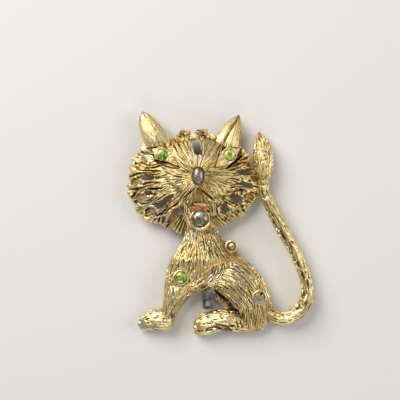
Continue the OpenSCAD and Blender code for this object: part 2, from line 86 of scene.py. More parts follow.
# %% Pale floor, soft boxes and a dim room
def new_piece(name, bm):
    """Object made from a bmesh"""
    mesh = bpy.data.meshes.new(name)
    bm.to_mesh(mesh)
    bm.free()
    piece = bpy.data.objects.new(name, mesh)
    bpy.context.scene.collection.objects.link(piece)
    return piece


def new_material(name):
    """Node material, with its tree and its shader"""
    material = bpy.data.materials.new(name)
    material.use_nodes = True
    return material, material.node_tree, material.node_tree.nodes["Principled BSDF"]


def plain_floor(size, colour, roughness):
    """Flat matt sheet under the brooch, its size in metres"""
    bm = bmesh.new()
    bmesh.ops.create_grid(bm, x_segments=4, y_segments=4, size=size / 2)
    sheet = new_piece("floor", bm)
    material, _, shader = new_material("floor")
    shader.inputs["Base Color"].default_value = colour
    shader.inputs["Roughness"].default_value = roughness
    sheet.data.materials.append(material)


def soft_box(name, place, size, watts, tint):
    """Square area light at a place in metres, turned to the brooch"""
    light = bpy.data.lights.new(name, "AREA")
    light.shape = "SQUARE"
    light.size = size
    light.energy = watts
    light.color = tint
    lamp = bpy.data.objects.new(name, light)
    lamp.location = place
    lamp.rotation_euler = (-Vector(place)).to_track_quat("-Z", "Y").to_euler()
    bpy.context.scene.collection.objects.link(lamp)


ROOM = (0.175, 0.175, 0.175, 1)

plain_floor(1.6, (0.74, 0.73, 0.71, 1), 0.85)
soft_box("key", (-0.22, 0.26, 0.30), 0.32, 2.15, (1.0, 0.98, 0.95))
soft_box("fill", (0.34, 0.04, 0.24), 0.26, 0.60, (1.0, 0.99, 0.98))
soft_box("low", (0.02, -0.34, 0.22), 0.24, 0.38, (1.0, 0.98, 0.95))
world = bpy.data.worlds.new("room")
bpy.context.scene.world = world
world.use_nodes = True
world.node_tree.nodes["Background"].inputs["Color"].default_value = ROOM
bpy.context.scene.view_settings.view_transform = "Standard"

# %% [markdown]
# ## Driving sizes and places
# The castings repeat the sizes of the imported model, in millimetres. Places on the figure are hundredths of
# its width and height, and places on the head are shares of the ruff's radius around the nose.

# %% Sizes, and how a place on the figure or the head becomes millimetres
FIGURE_W = 42.3
FIGURE_H = 50.9
CHEST_Z = 5.6
RIM_Z = 1.0
TAIL_W = 2.8
RUFF_R = 13.5
FACE_Z = 8.6
EAR_Z = 2.0
HEAD_WALL = 1.2
SEAT_WALL = 0.35
SEAT_GAP = 0.05
PIN_GAP = 0.05
UNDER = 3


def on_figure(x, y):
    """Place in mm from hundredths of the figure's width and height"""
    return np.stack([(np.asarray(x) - 50) / 100 * FIGURE_W, (np.asarray(y) - 50) / 100 * FIGURE_H], -1)


NOSE = on_figure(37.4, 71.1)


def on_head(x, y):
    """Place in mm from shares of the ruff's radius, measured from the nose"""
    return NOSE + RUFF_R * np.stack([np.asarray(x, float), np.asarray(y, float)], -1)


print("nose at", NOSE.round(2), "mm")

# %% [markdown]
# ## Random heights that always come out the same
# Cast fur is irregular, but the script has to give the same brooch each time. A seeded table of random
# heights, blended smoothly between its cells, gives soft bumps. Stretched along a limb they become hair, and
# lanes of short needle strokes, each with its own luck, scratch it.

# %% Soft bumps and combed hair
CELLS = 256
RUNS = 64
NEEDLES = [(0.75, 1, 0.10, 1), (0.85, 0.8, -0.12, 1), (0.6, 0.7, 0.02, 0.8)]


def step(low, high, x):
    """0 before low, 1 beyond high, smooth between them, whichever of the two is the larger number"""
    t = np.clip((x - low) / (high - low), 0, 1)
    return t * t * (3 - 2 * t)


def bumps(u, v, seed, around=CELLS):
    """Smooth random heights from 0 to 1, with one cell for each unit of u and v"""
    table = np.random.default_rng(seed).random((around, CELLS))
    u0 = np.floor(u).astype(int)
    v0 = np.floor(v).astype(int)
    fu = step(0, 1, u - u0)
    fv = step(0, 1, v - v0)
    near, far = (table[u0 % around, v1 % CELLS] * (1 - fu) + table[(u0 + 1) % around, v1 % CELLS] * fu
                 for v1 in (v0, v0 + 1))
    return near * (1 - fv) + far * fv


def locks(u, v, pitch, length, seed):
    """Height of combed locks from 0 in a groove to 1 on a crest, with u across them and v along them in mm"""
    a = u / pitch
    b = v / length
    sway = 1.8 * bumps(a * 0.22, b * 0.5, seed) + 0.8 * bumps(a * 0.7, b * 1.4, seed + 1)
    ridges = np.abs(np.sin(np.pi * (a + sway))) ** 0.6
    return ridges * (0.35 + 0.65 * bumps(a + sway, b * 1.6, seed + 2))


def strokes(a, b, seed, lanes, runs, power, thin, spread):
    """Depth from 0 to 1 of needle strokes, each with its own start, strength and width

    a counts the lanes and b the strokes along them. A stroke fills the share thin of its lane, and up to
    spread more.
    """
    lane = np.floor(a).astype(int) % lanes
    luck = np.random.default_rng(seed).random((3, lanes, runs))
    b = b + luck[0, lane, 0]
    run = np.floor(b).astype(int) % runs
    strength = luck[1, lane, run] ** power * np.sin(np.pi * (b % 1)) ** 0.5
    return strength * (1 - step(0, thin + spread * luck[2, lane, run], np.abs(a % 1 - 0.5) * 2))


def hair(u, v, pitch, length, seed):
    """Height of scratched hair from 0 in a groove to 1 on a crest: locks with needle strokes over them"""
    cut = 0
    for k, (wide, long, lean, deep) in enumerate(NEEDLES, seed + 4):
        lane = pitch * wide
        run = length * long
        lanes = (u + lean * v) / lane + 1.5 * bumps(u / (3.5 * lane), v / (1.3 * run), k)
        cut = np.maximum(cut, deep * strokes(lanes, v / run, k, CELLS, RUNS, 0.8, 0.35, 0.45))
    return 0.38 * locks(u, v, 1.5 * pitch, 1.3 * length, seed) + 0.62 * (1 - cut)


# %% [markdown]
# ## Turning sections into solids
# Every limb is a row of arched sections. Blender's grid is the quickest way to get the faces: it is bent
# round into a tube, its seam is merged and its two ends are filled, so the result is a closed solid that a
# Boolean can trust.


# %% A closed skin through rows of points
def skin(name, sections, comb=None):
    """Closed solid through sections, an array of rows x points x 3 in mm

    comb gives each point a place whose last number runs along the hair, for the finest scratches in the gold.
    """
    rows, points = sections.shape[:2]
    closed = np.concatenate([sections, sections[:, :1]], axis=1).reshape(-1, 3)
    bm = bmesh.new()
    bmesh.ops.create_grid(bm, x_segments=points, y_segments=rows - 1, size=1)
    layer = bm.verts.layers.float_vector.new("comb")
    for vert, place in zip(bm.verts, closed.tolist()):
        vert.co = place
    if comb is not None:
        combed = np.concatenate([comb, comb[:, :1]], axis=1).reshape(-1, 3)
        for vert, place in zip(bm.verts, combed.tolist()):
            vert[layer] = place
    seam = [v for v in bm.verts if v.index % (points + 1) in (0, points)]
    bmesh.ops.remove_doubles(bm, verts=seam, dist=1e-6)
    bmesh.ops.holes_fill(bm, edges=[e for e in bm.edges if e.is_boundary], sides=0)
    bmesh.ops.recalc_face_normals(bm, faces=bm.faces)
    return new_piece(name, bm)


def smooth_rows(table, steps):
    """Rows of a table with smooth rows added between them"""
    t = np.array(table, float)
    rows = []
    for i in range(len(t) - 1):
        a = t[max(i - 1, 0)]
        b = t[i]
        c = t[i + 1]
        d = t[min(i + 2, len(t) - 1)]
        for k in range(steps):
            s = k / steps
            rows.append(0.5 * (2 * b + (c - a) * s + (2 * a - 5 * b + 4 * c - d) * s ** 2
                               + (3 * b - 3 * c + d - a) * s ** 3))
    rows.append(t[-1])
    return np.array(rows)


def loose_edges(piece):
    """Number of edges that don't have two faces, which is 0 on a closed solid"""
    bm = bmesh.new()
    bm.from_mesh(piece.data)
    count = sum(1 for e in bm.edges if len(e.link_faces) != 2)
    bm.free()
    return count


def combine(piece, tool, operation):
    """Joins a tool solid to a piece, or cuts it away, and removes the tool"""
    modifier = piece.modifiers.new("combine", "BOOLEAN")
    modifier.object = tool
    modifier.operation = operation
    modifier.solver = "MANIFOLD"
    graph = bpy.context.evaluated_depsgraph_get()
    mesh = bpy.data.meshes.new_from_object(piece.evaluated_get(graph))
    piece.modifiers.remove(modifier)
    if not len(mesh.polygons):
        raise SystemExit(f"{piece.name} and {tool.name} did not combine")
    piece.data = mesh
    bpy.data.objects.remove(tool)
    return piece

# %% [markdown]
# ## Limbs with fur
# A limb is a row of rungs across it. Over each rung stands an arch, and the arch is pressed in where the
# hair has a groove. The points of the arch are spread evenly along its curve, because even faces are what
# makes fine grooves look crisp.


# %% Arched sections with hair pressed into them
ARCH_POWER = 0.6


def arch_turns(half, rise, points):
    """Angles that spread points evenly along an arch, and the arch's length in mm"""
    fine = np.linspace(0, np.pi, 400)
    x = half * np.cos(fine)
    z = rise * np.sin(fine) ** ARCH_POWER
    run = np.concatenate([[0], np.cumsum(np.hypot(np.diff(x), np.diff(z)))])
    return np.interp(np.linspace(0, run[-1], points), run, fine), run[-1]


def limb_comb(rungs, points):
    """Place across the hair, 0 and place along it, in mm, for each point of a limb"""
    middle = (rungs[:, 0:2] + rungs[:, 2:4]) / 2
    size = np.linalg.norm(rungs[:, 2:4] - rungs[:, 0:2], axis=1) / 2
    _, run = arch_turns(np.median(size), np.median(rungs[:, 4] - RIM_Z), points)
    along = np.concatenate([[0], np.cumsum(np.linalg.norm(np.diff(middle, axis=0), axis=1))])
    across = np.linspace(0, run, points)
    return np.stack(np.broadcast_arrays(across[None, :], 0.0, along[:, None]), -1)


def arches(rungs, points, fur=None, grow=0.0, base=RIM_Z, foot=None, ceiling=100.0):
    """Sections over rungs whose columns are first x, first y, second x, second y and height in mm"""
    first = rungs[:, 0:2]
    second = rungs[:, 2:4]
    middle = (first + second) / 2
    half = (second - first) / 2
    size = np.linalg.norm(half, axis=1)
    half = half * np.maximum(0.1, 1 + grow / size)[:, None]
    rise = np.maximum(0.2, rungs[:, 4] + grow - base)
    turns, run = arch_turns(np.median(size), np.median(rise), points)
    turns = turns[::-1]
    out = np.cos(turns)[None, :]
    up = np.sin(turns)[None, :] ** ARCH_POWER
    height = np.zeros((len(rungs), points))
    if fur:
        u, _, v = np.moveaxis(limb_comb(rungs, points), -1, 0)
        height = fur(u, v, u / run, v / v.max())
    sink = height * step(0, 0.22, up)
    x = middle[:, 0:1] + half[:, 0:1] * out * (1 + sink / size[:, None] * np.abs(out))
    y = middle[:, 1:2] + half[:, 1:2] * out * (1 + sink / size[:, None] * np.abs(out))
    z = base + np.maximum(0.02 * up, rise[:, None] * up + sink * (0.35 + 0.65 * up))
    sections = np.stack([x, y, np.minimum(z, ceiling)], -1)
    if foot is not None:
        feet = sections[:, [0, -1]].copy()
        feet[:, :, 2] = foot
        sections = np.concatenate([feet[:, :1], sections, feet[:, 1:]], axis=1)
    return sections


def limb_rungs(table, steps, place=on_figure, tall=CHEST_Z):
    """Rungs in mm from a table of shares, with smooth rungs added between its rows"""
    t = smooth_rows(table, steps)
    return np.column_stack([place(t[:, 0], t[:, 1]), place(t[:, 2], t[:, 3]), t[:, 4] * tall])


def tail_rungs(steps):
    """Rungs across the tail's line, whose columns are x, y, width and height"""
    t = smooth_rows(TAIL, steps)
    line = on_figure(t[:, 0], t[:, 1])
    way = np.gradient(line, axis=0)
    side = np.stack([-way[:, 1], way[:, 0]], -1) / np.linalg.norm(way, axis=1)[:, None]
    side = side * (t[:, 2] * TAIL_W / 2)[:, None]
    return np.column_stack([line - side, line + side, t[:, 3] * CHEST_Z])


# %% [markdown]
# ## The body
# The body is one casting: neck and chest, front leg and paw, haunch, hind foot, belly, tail and the leaf
# shaped tuft at the tail's end. Each limb is swept by itself, with hair that runs along it, and then they
# are fused, which leaves the creases between them that the real casting has.

# %% Rungs of the body's limbs, in hundredths of the figure, with the height as a share of the chest's
NECK_CHEST = [
    (30.8, 60.9, 45.6, 60.9, 0.62), (30.2, 54.3, 46.7, 54.7, 0.72), (30.0, 47.7, 47.7, 47.7, 0.84),
    (29.2, 43.3, 50.9, 43.5, 0.90), (26.0, 38.6, 56.8, 38.4, 0.96), (22.3, 33.6, 63.1, 33.6, 1.00),
    (20.2, 28.3, 63.7, 27.8, 0.96), (19.3, 23.8, 55.2, 23.4, 0.90), (19.1, 19.9, 38.2, 19.9, 0.80)]
FRONT_LEG = [
    (19.4, 25.6, 39.8, 25.6, 0.78), (19.1, 19.9, 36.9, 19.9, 0.84), (18.8, 17.2, 32.7, 17.2, 0.82),
    (18.3, 13.7, 29.2, 13.5, 0.80), (17.5, 10.6, 26.5, 10.4, 0.78), (17.0, 7.5, 24.7, 7.5, 0.74),
    (16.4, 4.4, 23.3, 4.4, 0.60)]
FRONT_PAW = [
    (24.9, 7.1, 24.9, 8.8, 0.45), (23.1, 3.1, 22.3, 11.9, 0.72), (18.6, 2.6, 17.5, 12.4, 0.80),
    (13.8, 2.6, 13.3, 11.7, 0.76), (9.5, 2.8, 9.3, 10.4, 0.66), (6.9, 3.1, 6.9, 8.2, 0.52),
    (5.5, 4.0, 5.5, 6.4, 0.30)]
HAUNCH = [
    (41.1, 24.3, 43.0, 28.5, 0.55), (43.2, 22.1, 49.9, 32.5, 0.80), (46.7, 19.9, 57.3, 35.8, 0.95),
    (50.9, 17.2, 64.7, 33.1, 1.06), (54.6, 14.6, 71.1, 26.9, 1.10), (57.3, 12.1, 75.3, 19.9, 1.06),
    (58.9, 9.3, 76.9, 14.8, 0.96), (59.4, 6.2, 76.4, 10.2, 0.86), (59.9, 3.3, 74.8, 5.7, 0.70),
    (61.5, 1.5, 72.1, 2.9, 0.50)]
HIND_FOOT = [
    (64.7, 1.5, 65.8, 8.8, 0.62), (58.4, 1.6, 58.4, 11.5, 0.74), (52.5, 2.0, 52.5, 12.1, 0.78),
    (46.7, 1.5, 46.2, 11.3, 0.74), (41.4, 0.4, 40.3, 10.2, 0.68), (37.7, 0.2, 36.9, 8.4, 0.56),
    (35.3, 0.9, 34.9, 6.0, 0.38)]
BELLY = [
    (36.9, 19.4, 37.7, 28.3, 0.66), (40.8, 18.5, 45.6, 25.6, 0.62), (45.6, 16.8, 51.5, 22.1, 0.58),
    (49.3, 14.6, 55.7, 18.5, 0.54), (52.5, 11.9, 58.9, 15.0, 0.52)]
TUFT = [
    (69.9, 90.8, 70.8, 90.9, 0.30), (68.4, 88.7, 73.2, 89.0, 0.55), (67.6, 85.2, 76.4, 85.2, 0.75),
    (66.7, 80.4, 78.2, 80.1, 0.85), (66.9, 75.9, 77.8, 75.9, 0.85), (68.4, 71.5, 76.4, 71.7, 0.80),
    (69.5, 66.2, 75.2, 66.7, 0.72)]
TAIL = [
    (72.4, 67.1, 0.89, 0.72), (72.7, 64.0, 0.89, 0.72), (74.7, 60.7, 0.93, 0.75), (78.0, 54.7, 1.00, 0.78),
    (83.0, 46.8, 1.02, 0.80), (88.6, 38.9, 0.98, 0.80), (92.3, 32.0, 0.97, 0.80), (95.2, 25.2, 0.98, 0.80),
    (96.1, 19.4, 1.05, 0.80), (94.4, 14.1, 1.10, 0.80), (89.9, 9.9, 1.08, 0.78), (83.8, 7.7, 1.00, 0.74),
    (78.5, 8.6, 1.05, 0.70), (74.3, 11.0, 1.29, 0.66)]
TOES = [
    (11.0, 9.3, 7.6, 7.4, 0.58), (10.4, 6.6, 6.6, 5.6, 0.56), (11.0, 4.2, 7.4, 4.1, 0.52),
    (41.0, 7.6, 37.2, 6.2, 0.58), (40.6, 4.8, 36.4, 3.8, 0.55), (42.0, 2.4, 38.0, 1.9, 0.50)]
LOCKS = [
    (71.0, 72.0, 69.0, 82.0, 0.86), (72.4, 72.0, 71.4, 87.0, 0.86), (73.8, 72.0, 74.6, 84.0, 0.86),
    (74.6, 71.0, 76.0, 78.0, 0.82)]


# %% Fur of each limb: depth of its grooves in mm, as a function of place
def fur(pitch, length, depth, seed, ridge=0.0, pits=0.0, worn_side=0.0):
    """Maker of a limb's fur

    A ridge lifts the middle of the limb, pits eat small holes into it, and worn_side eats bigger ones into
    the side on which its rungs begin.
    """
    def press(u, v, across, along):
        sink = -depth * (1 - hair(u, v, pitch, length, seed)) / 0.7
        sink += ridge * (1 - 2 * np.abs(across - 0.45)) ** 2
        sink += 0.10 * bumps(u / 1.6, v / 2.2, seed + 9)
        sink -= pits * step(0.62, 0.85, bumps(u / 0.5, v / 0.8, seed + 20))
        holes = step(0.48, 0.66, bumps(u / 0.7, v / 1.4, seed + 21)) * (1 - step(0.36, 0.52, across))
        return sink - worn_side * holes
    return press


def haunch_fur(u, v, across, along):
    """Long hair down the haunch, with a raised seam where it meets the back, and a fold beyond the seam"""
    seam = np.exp(-((across - 0.82) / 0.042) ** 2) * (1 - step(0.35, 0.55, along))
    fold = 0.25 * step(0.87, 0.93, across) * step(0.5, 0.3, along)
    calm = 0.45 + 0.55 * step(0.12, 0.36, along)
    return calm * fur(0.62, 5.2, 0.36, 71)(u, v, across, along) + 0.50 * seam - fold


# %% Limbs and bars, fused into one body
TOE_R = 0.75
LOCK_R = 0.4
THIN_BAR = 0.3


def body_limb(name, rungs, points, press):
    """Limb with fur, and with the comb that its finest scratches follow"""
    return skin(name, arches(rungs, points, press), limb_comb(rungs, points))


def rounded_bar(name, a, b, radius):
    """Bar with round ends between two points in mm"""
    a = Vector(a)
    way = Vector(b) - a
    turn = way.to_track_quat("X", "Z")
    bm = bmesh.new()
    bmesh.ops.create_icosphere(bm, subdivisions=4 if radius > THIN_BAR else 3, radius=radius)
    layer = bm.verts.layers.float_vector.new("comb")
    for vert in bm.verts:
        share = 0.5 + 0.5 * math.tanh(6 * vert.co.x / radius)
        local = Vector((vert.co.x + way.length * share, vert.co.y, vert.co.z))
        vert[layer] = (local.y, local.z, local.x)
        vert.co = a + turn @ local
    return new_piece(name, bm)


def per_vertex(mesh, what):
    """Place or normal of each vertex, as rows of an array"""
    values = np.empty(len(mesh.vertices) * 3)
    mesh.vertices.foreach_get(what, values)
    return values.reshape(-1, 3)


def roughened(piece, size, length, depth, seed):
    """Pushes a small piece's surface in and out, as a casting from a worn mould has it, in strokes along Y"""
    co = per_vertex(piece.data, "co")
    coarse = bumps((co[:, 0] + 0.6 * co[:, 2]) / size, co[:, 1] / length, seed)
    fine = bumps((co[:, 0] - 0.8 * co[:, 2]) / (0.5 * size), co[:, 1] / (0.6 * length), seed + 1)
    moved = co + per_vertex(piece.data, "normal") * (depth * (0.65 * coarse + 0.35 * fine - 0.75))[:, None]
    piece.data.vertices.foreach_set("co", moved.ravel())
    return piece


def lock_ends(row, radius):
    """Two ends of a bar whose top starts at the row's height"""
    z = row[4] * CHEST_Z - radius
    return (*on_figure(row[0], row[1]), z), (*on_figure(row[2], row[3]), z - 0.4 * radius)


body = body_limb("brooch_body", limb_rungs(NECK_CHEST, 22), 190, fur(0.56, 2.7, 0.28, 3))
limbs = [
    body_limb("leg", limb_rungs(FRONT_LEG, 16), 80, fur(0.66, 3.4, 0.26, 41)),
    body_limb("paw", limb_rungs(FRONT_PAW, 14), 60, fur(0.66, 2.4, 0.18, 57, pits=0.14)),
    body_limb("haunch", limb_rungs(HAUNCH, 20), 150, haunch_fur),
    body_limb("foot", limb_rungs(HIND_FOOT, 18), 64, fur(0.66, 2.8, 0.20, 89, pits=0.14, worn_side=0.5)),
    body_limb("belly", limb_rungs(BELLY, 14), 44, fur(0.9, 2.6, 0.60, 97)),
    body_limb("tail", tail_rungs(26), 44, fur(0.68, 4.4, 0.30, 113, ridge=0.30, pits=0.08, worn_side=0.55)),
    body_limb("tuft", limb_rungs(TUFT, 18), 54, fur(0.46, 3.8, 0.29, 131, ridge=0.08))]
limbs += [rounded_bar("ridge", *lock_ends(row, TOE_R), TOE_R) for row in TOES]
for row in LOCKS:
    limbs.append(roughened(rounded_bar("ridge", *lock_ends(row, LOCK_R), LOCK_R), 0.24, 1.6, 0.30, 141))
for limb in limbs:
    combine(body, limb, "UNION")
print("limbs:", len(limbs), "on", len(body.data.polygons), "faces")


# %% The fold under the haunch, with single raised strands across it and over the haunch
STRAND_R = 0.21
SEAM_R = 0.42
ABOVE = 20
FOLD = [((-1.6, -15.1), (1.2, -17.3), 0.50), ((1.9, -18.3), (3.5, -19.9), 0.62)]
CRACKS = [
    ((-1.3, -22.4), (1.7, -23.4), 0.26), ((3.2, -21.9), (3.6, -22.8), 0.20),
    ((4.1, -21.9), (4.5, -23.3), 0.20), ((-0.8, -23.5), (2.2, -24.0), 0.32),
    ((-17.2, -22.7), (-15.0, -23.0), 0.15), ((-15.7, -23.5), (-14.4, -24.1), 0.15),
    ((-11.3, -20.2), (-11.2, -21.0), 0.18)]
SEAM = [(-3.7, -12.6), (-3.5, -10.9), (-2.2, -9.4), (0.2, -8.5), (2.9, -8.5), (5.4, -9.5)]
STRANDS = [
    [(-5.0, -13.8), (-3.3, -15.3), (-1.4, -17.2)], [(-2.6, -14.3), (-1.2, -15.7), (0.9, -17.7), (1.8, -18.9)],
    [(-2.6, -13.8), (-0.7, -15.4), (1.3, -16.9), (2.4, -18.1)], [(-1.3, -14.0), (1.6, -16.5), (4.2, -19.4)]]


def lay_strand(piece, line, radius):
    """Bars that lie on a piece along a line of (x, y) in mm, half sunk in it"""
    way = []
    for x, y in line:
        hit, place, _, _ = piece.ray_cast((x, y, ABOVE), (0, 0, -1))
        way.append((x, y, (place.z if hit else RIM_Z) - 0.45 * radius))
    return [rounded_bar("strand", a, b, radius) for a, b in zip(way, way[1:])]


bars = [bar for line in STRANDS for bar in lay_strand(body, line, STRAND_R)] + lay_strand(body, SEAM, SEAM_R)
for *ends, radius in FOLD + CRACKS:
    lows = [(x, y, body.ray_cast((x, y, ABOVE), (0, 0, -1))[1].z - 0.1) for x, y in ends]
    combine(body, roughened(rounded_bar("cut", *lows, radius), 0.3, 0.4, 0.8 * radius, 51), "DIFFERENCE")
for i, bar in enumerate(bars):
    combine(body, roughened(bar, 0.3, 0.6, 0.12, 21 + 2 * i), "UNION")
print("body:", len(body.data.polygons), "faces,", loose_edges(body), "loose edges")

# %% [markdown]
# ## Cups, stone seats and the hollow back of the body
# Collars and cups are tapered cylinders fused to the casting, and their hollows are cut with a cone and a
# bore, as a jeweller's burr would. The two cups that lost their stones keep a low dome of old cement with a
# gutter around it. The back is hollow and takes the bar of the pin, so the same clearances as in the packed
# model are cut here.

# %% Sizes of cups, stones and pin
PAVILION = 0.36
CULET = 0.12
GIRDLE = 0.05
CHEST_STONE_AT = on_figure(28.1, 26.5)
SHOULDER_CUP_AT = on_figure(54.8, 40.2)
HAUNCH_CUP_AT = on_figure(69.7, 17.9)
PIN_AT = on_figure(42.7, 37.0)
CHEST_D = 2.7
SHOULDER_D = 2.7
HAUNCH_D = 3.2
CHEST_TOP = 0.98 * CHEST_Z
SHOULDER_TOP = 0.98 * CHEST_Z
HAUNCH_TOP = 1.08 * CHEST_Z
PIN_L = 25.4
PIN_W = 2.6
PIN_T = 0.6
PIN_Z = 2.3
RECESS_Z = PIN_Z + PIN_T + PIN_GAP
BODY_WALL = 1.3
PIT_AT = HAUNCH_CUP_AT + (0.40, 0.75)
LIP = 0.10

print("recess for the pin up to", round(RECESS_Z, 2), "mm, chest collar up to", round(CHEST_TOP, 2), "mm")


# %% Turned shapes and boxes
def turned(name, at, levels, sides):
    """Closed turned solid about a vertical axis, through (height, radius) levels from low to high in mm"""
    bm = bmesh.new()
    rings = []
    for height, radius in levels:
        ring = bmesh.ops.create_circle(bm, cap_ends=False, segments=sides, radius=radius)["verts"]
        bmesh.ops.translate(bm, verts=ring, vec=(at[0], at[1], height))
        rings.append(ring)
    for low, high in zip(rings, rings[1:]):
        edges = {e for v in low + high for e in v.link_edges if e.other_vert(v) in set(low + high)}
        between = [e for e in edges if (e.verts[0] in low) == (e.verts[1] in low)]
        bmesh.ops.bridge_loops(bm, edges=between)
    bmesh.ops.holes_fill(bm, edges=[e for e in bm.edges if e.is_boundary], sides=0)
    bmesh.ops.recalc_face_normals(bm, faces=bm.faces)
    return new_piece(name, bm)


def block(name, lo, hi):
    """Box between two corners in mm"""
    bm = bmesh.new()
    bmesh.ops.create_cube(bm, size=1)
    for vert in bm.verts:
        vert.co = Vector(lo[i] + (vert.co[i] + 0.5) * (hi[i] - lo[i]) for i in range(3))
    return new_piece(name, bm)


def collar(at, d, top, foot):
    """Tapered collar with a rounded lip"""
    levels = [(foot, 0.4 * d), (top - 2 * LIP, 0.49 * d), (top - 0.5 * LIP, 0.5 * d), (top, 0.5 * d - LIP)]
    return turned("collar", at, levels, 48)


def stone_seat(at, girdle, d):
    """Room for a stone and its gap, open upwards"""
    wide = d / 2 + SEAT_GAP
    low = CULET * d / 2 + SEAT_GAP
    depth = PAVILION * d + SEAT_GAP
    return turned("seat", at, [(girdle - depth, low), (girdle, wide), (girdle + UNDER, wide)], 48)


def empty_cup(at, d, top, floor, gutter, lean):
    """Hollow of a cup that has lost its stone: a gutter around a low dome of old cement

    The depths of floor and gutter are shares of d, and the floor rises by lean towards the right.
    """
    inner = d / 2 - SEAT_WALL
    levels = [
        (top - floor * d, 0.10 * inner), (top - (floor + 0.02) * d, 0.55 * inner),
        (top - (gutter - 0.01) * d, 0.82 * inner), (top - gutter * d, 0.88 * inner),
        (top - 0.06, inner), (top + 0.5, 1.1 * inner)]
    hollow = turned("hollow", at, levels, 40)
    for vert in hollow.data.vertices:
        if vert.co.z < top - 0.07:
            vert.co.z += lean * (vert.co.x - at[0])
    return hollow


def pin_room():
    """Room for the pin's bar and its gap, open downwards"""
    half_w = PIN_W / 2 + PIN_GAP
    half_l = PIN_L / 2 + PIN_GAP
    return block("pin_room", (PIN_AT[0] - half_w, PIN_AT[1] - half_l, -UNDER),
                 (PIN_AT[0] + half_w, PIN_AT[1] + half_l, RECESS_Z))


# %% Collars on the body, and the cuts in it
for tool in (collar(CHEST_STONE_AT, CHEST_D + 2 * SEAT_WALL, CHEST_TOP, RIM_Z),
             collar(SHOULDER_CUP_AT, SHOULDER_D, SHOULDER_TOP, RIM_Z),
             collar(HAUNCH_CUP_AT, HAUNCH_D, HAUNCH_TOP, RECESS_Z)):
    combine(body, tool, "UNION")
for rungs in (limb_rungs(NECK_CHEST, 6)[15:43], limb_rungs(HAUNCH, 6)[9:40]):
    sections = arches(rungs, 25, grow=-BODY_WALL, foot=-UNDER, ceiling=RECESS_Z)
    combine(body, skin("hollow", sections), "DIFFERENCE")
for tool in (pin_room(), stone_seat(CHEST_STONE_AT, CHEST_TOP - GIRDLE * CHEST_D, CHEST_D),
             empty_cup(SHOULDER_CUP_AT, SHOULDER_D, SHOULDER_TOP, 0.13, 0.21, 0.22),
             empty_cup(HAUNCH_CUP_AT, HAUNCH_D, HAUNCH_TOP, 0.06, 0.10, -0.04),
             turned("pit", PIT_AT, [(HAUNCH_TOP - 1.1, 0.22), (HAUNCH_TOP + 1, 0.50)], 20)):
    combine(body, tool, "DIFFERENCE")
print("body cut:", len(body.data.polygons), "faces,", loose_edges(body), "loose edges")

# %% [markdown]
# ## The head as a relief
# Seen from above, the face is a relief: every point has one height. So the head starts as a polar grid
# around the nose, and its heights are built up like wax on a dome. First come the fur rays, then the
# raised mask of the inner face, the pods that are pressed in near the rim, the pads of the muzzle, the almond
# plates of the eyes, and fine slits.

# %% Tables of the head, by angle from the viewer's right and in shares of the ruff's radius
OUTLINE = [
    (0, 0.97), (20, 0.90), (40, 0.85), (60, 0.75), (90, 0.73), (120, 0.75), (145, 1.05), (163, 1.10),
    (180, 1.18), (200, 1.19), (214, 1.15), (231, 1.05), (249, 0.96), (270, 0.84), (303, 0.96), (318, 0.98),
    (340, 1.05), (350, 1.02), (360, 0.97)]
DOME = [(0, 1.00), (0.2, 0.99), (0.4, 0.93), (0.6, 0.81), (0.8, 0.62), (0.9, 0.50), (1, 0.36)]
MASK_EDGE = [
    (0, 0.60), (20, 0.62), (38, 0.80), (60, 1.20), (90, 1.20), (125, 1.20), (148, 0.95), (165, 0.62),
    (180, 0.50), (200, 0.45), (220, 0.40), (245, 0.42), (262, 0.46), (278, 0.46), (300, 0.46), (322, 0.52),
    (338, 0.60), (350, 0.62), (360, 0.60)]
GAPS = [
    (182, 0.72, 0.96, 3), (199, 0.80, 0.93, 2.4), (217, 0.50, 0.88, 4.2), (238, 0.62, 0.80, 4.4),
    (329.5, 0.60, 0.84, 5.7), (309.6, 0.60, 0.79, 5.6)]
EAR_LEFT = [
    (-0.96, 1.08, -0.92, 1.09, 0.34), (-0.99, 1.00, -0.81, 1.04, 0.42), (-1.00, 0.88, -0.66, 0.89, 0.50),
    (-0.98, 0.77, -0.56, 0.78, 0.56), (-0.94, 0.63, -0.47, 0.68, 0.60), (-0.88, 0.47, -0.39, 0.53, 0.60)]
EAR_RIGHT = [
    (0.67, 1.04, 0.69, 1.04, 0.34), (0.54, 0.96, 0.72, 0.93, 0.42), (0.42, 0.86, 0.73, 0.80, 0.50),
    (0.35, 0.76, 0.72, 0.67, 0.56), (0.27, 0.68, 0.70, 0.55, 0.60), (0.19, 0.57, 0.69, 0.42, 0.60)]
EYE_LEFT = (-0.60, 0.35, -0.33, 0.135, -0.74, 0.43)
EYE_RIGHT = (0.52, 0.35, 0.28, 0.15, 0.66, 0.44)
TOP_TUFTS = [
    (-0.26, 0.74, -0.26, 0.60), (-0.17, 0.73, -0.19, 0.60), (-0.14, 0.63, -0.02, 0.66),
    (-0.01, 0.74, 0.12, 0.74), (0.06, 0.72, 0.06, 0.60), (0.17, 0.66, 0.26, 0.65),
    (-0.32, 0.68, -0.20, 0.70), (-0.31, 0.63, -0.20, 0.63), (0.01, 0.70, 0.11, 0.70),
    (0.02, 0.72, 0.10, 0.73)]
RIM_STRANDS = [
    [(-1.12, -0.27), (-0.87, -0.21), (-0.63, -0.29)], [(-0.92, -0.51), (-0.74, -0.44), (-0.46, -0.33)],
    [(-0.88, -0.64), (-0.63, -0.58), (-0.42, -0.44)], [(-0.81, -0.71), (-0.53, -0.64), (-0.36, -0.53)],
    [(-0.60, -0.80), (-0.44, -0.66), (-0.31, -0.62)], [(-0.48, -0.86), (-0.35, -0.71), (-0.27, -0.60)]]
EYE_D = 2.7
CHIN_D = 3.8
NOSE_W = 2.5
NOSE_L = 3.8
MOUTH_W = 3.3
MOUTH_H = 1.0
MOUTH_DEPTH = 0.5
JAW_R = 0.9
PAD_R = 2.2
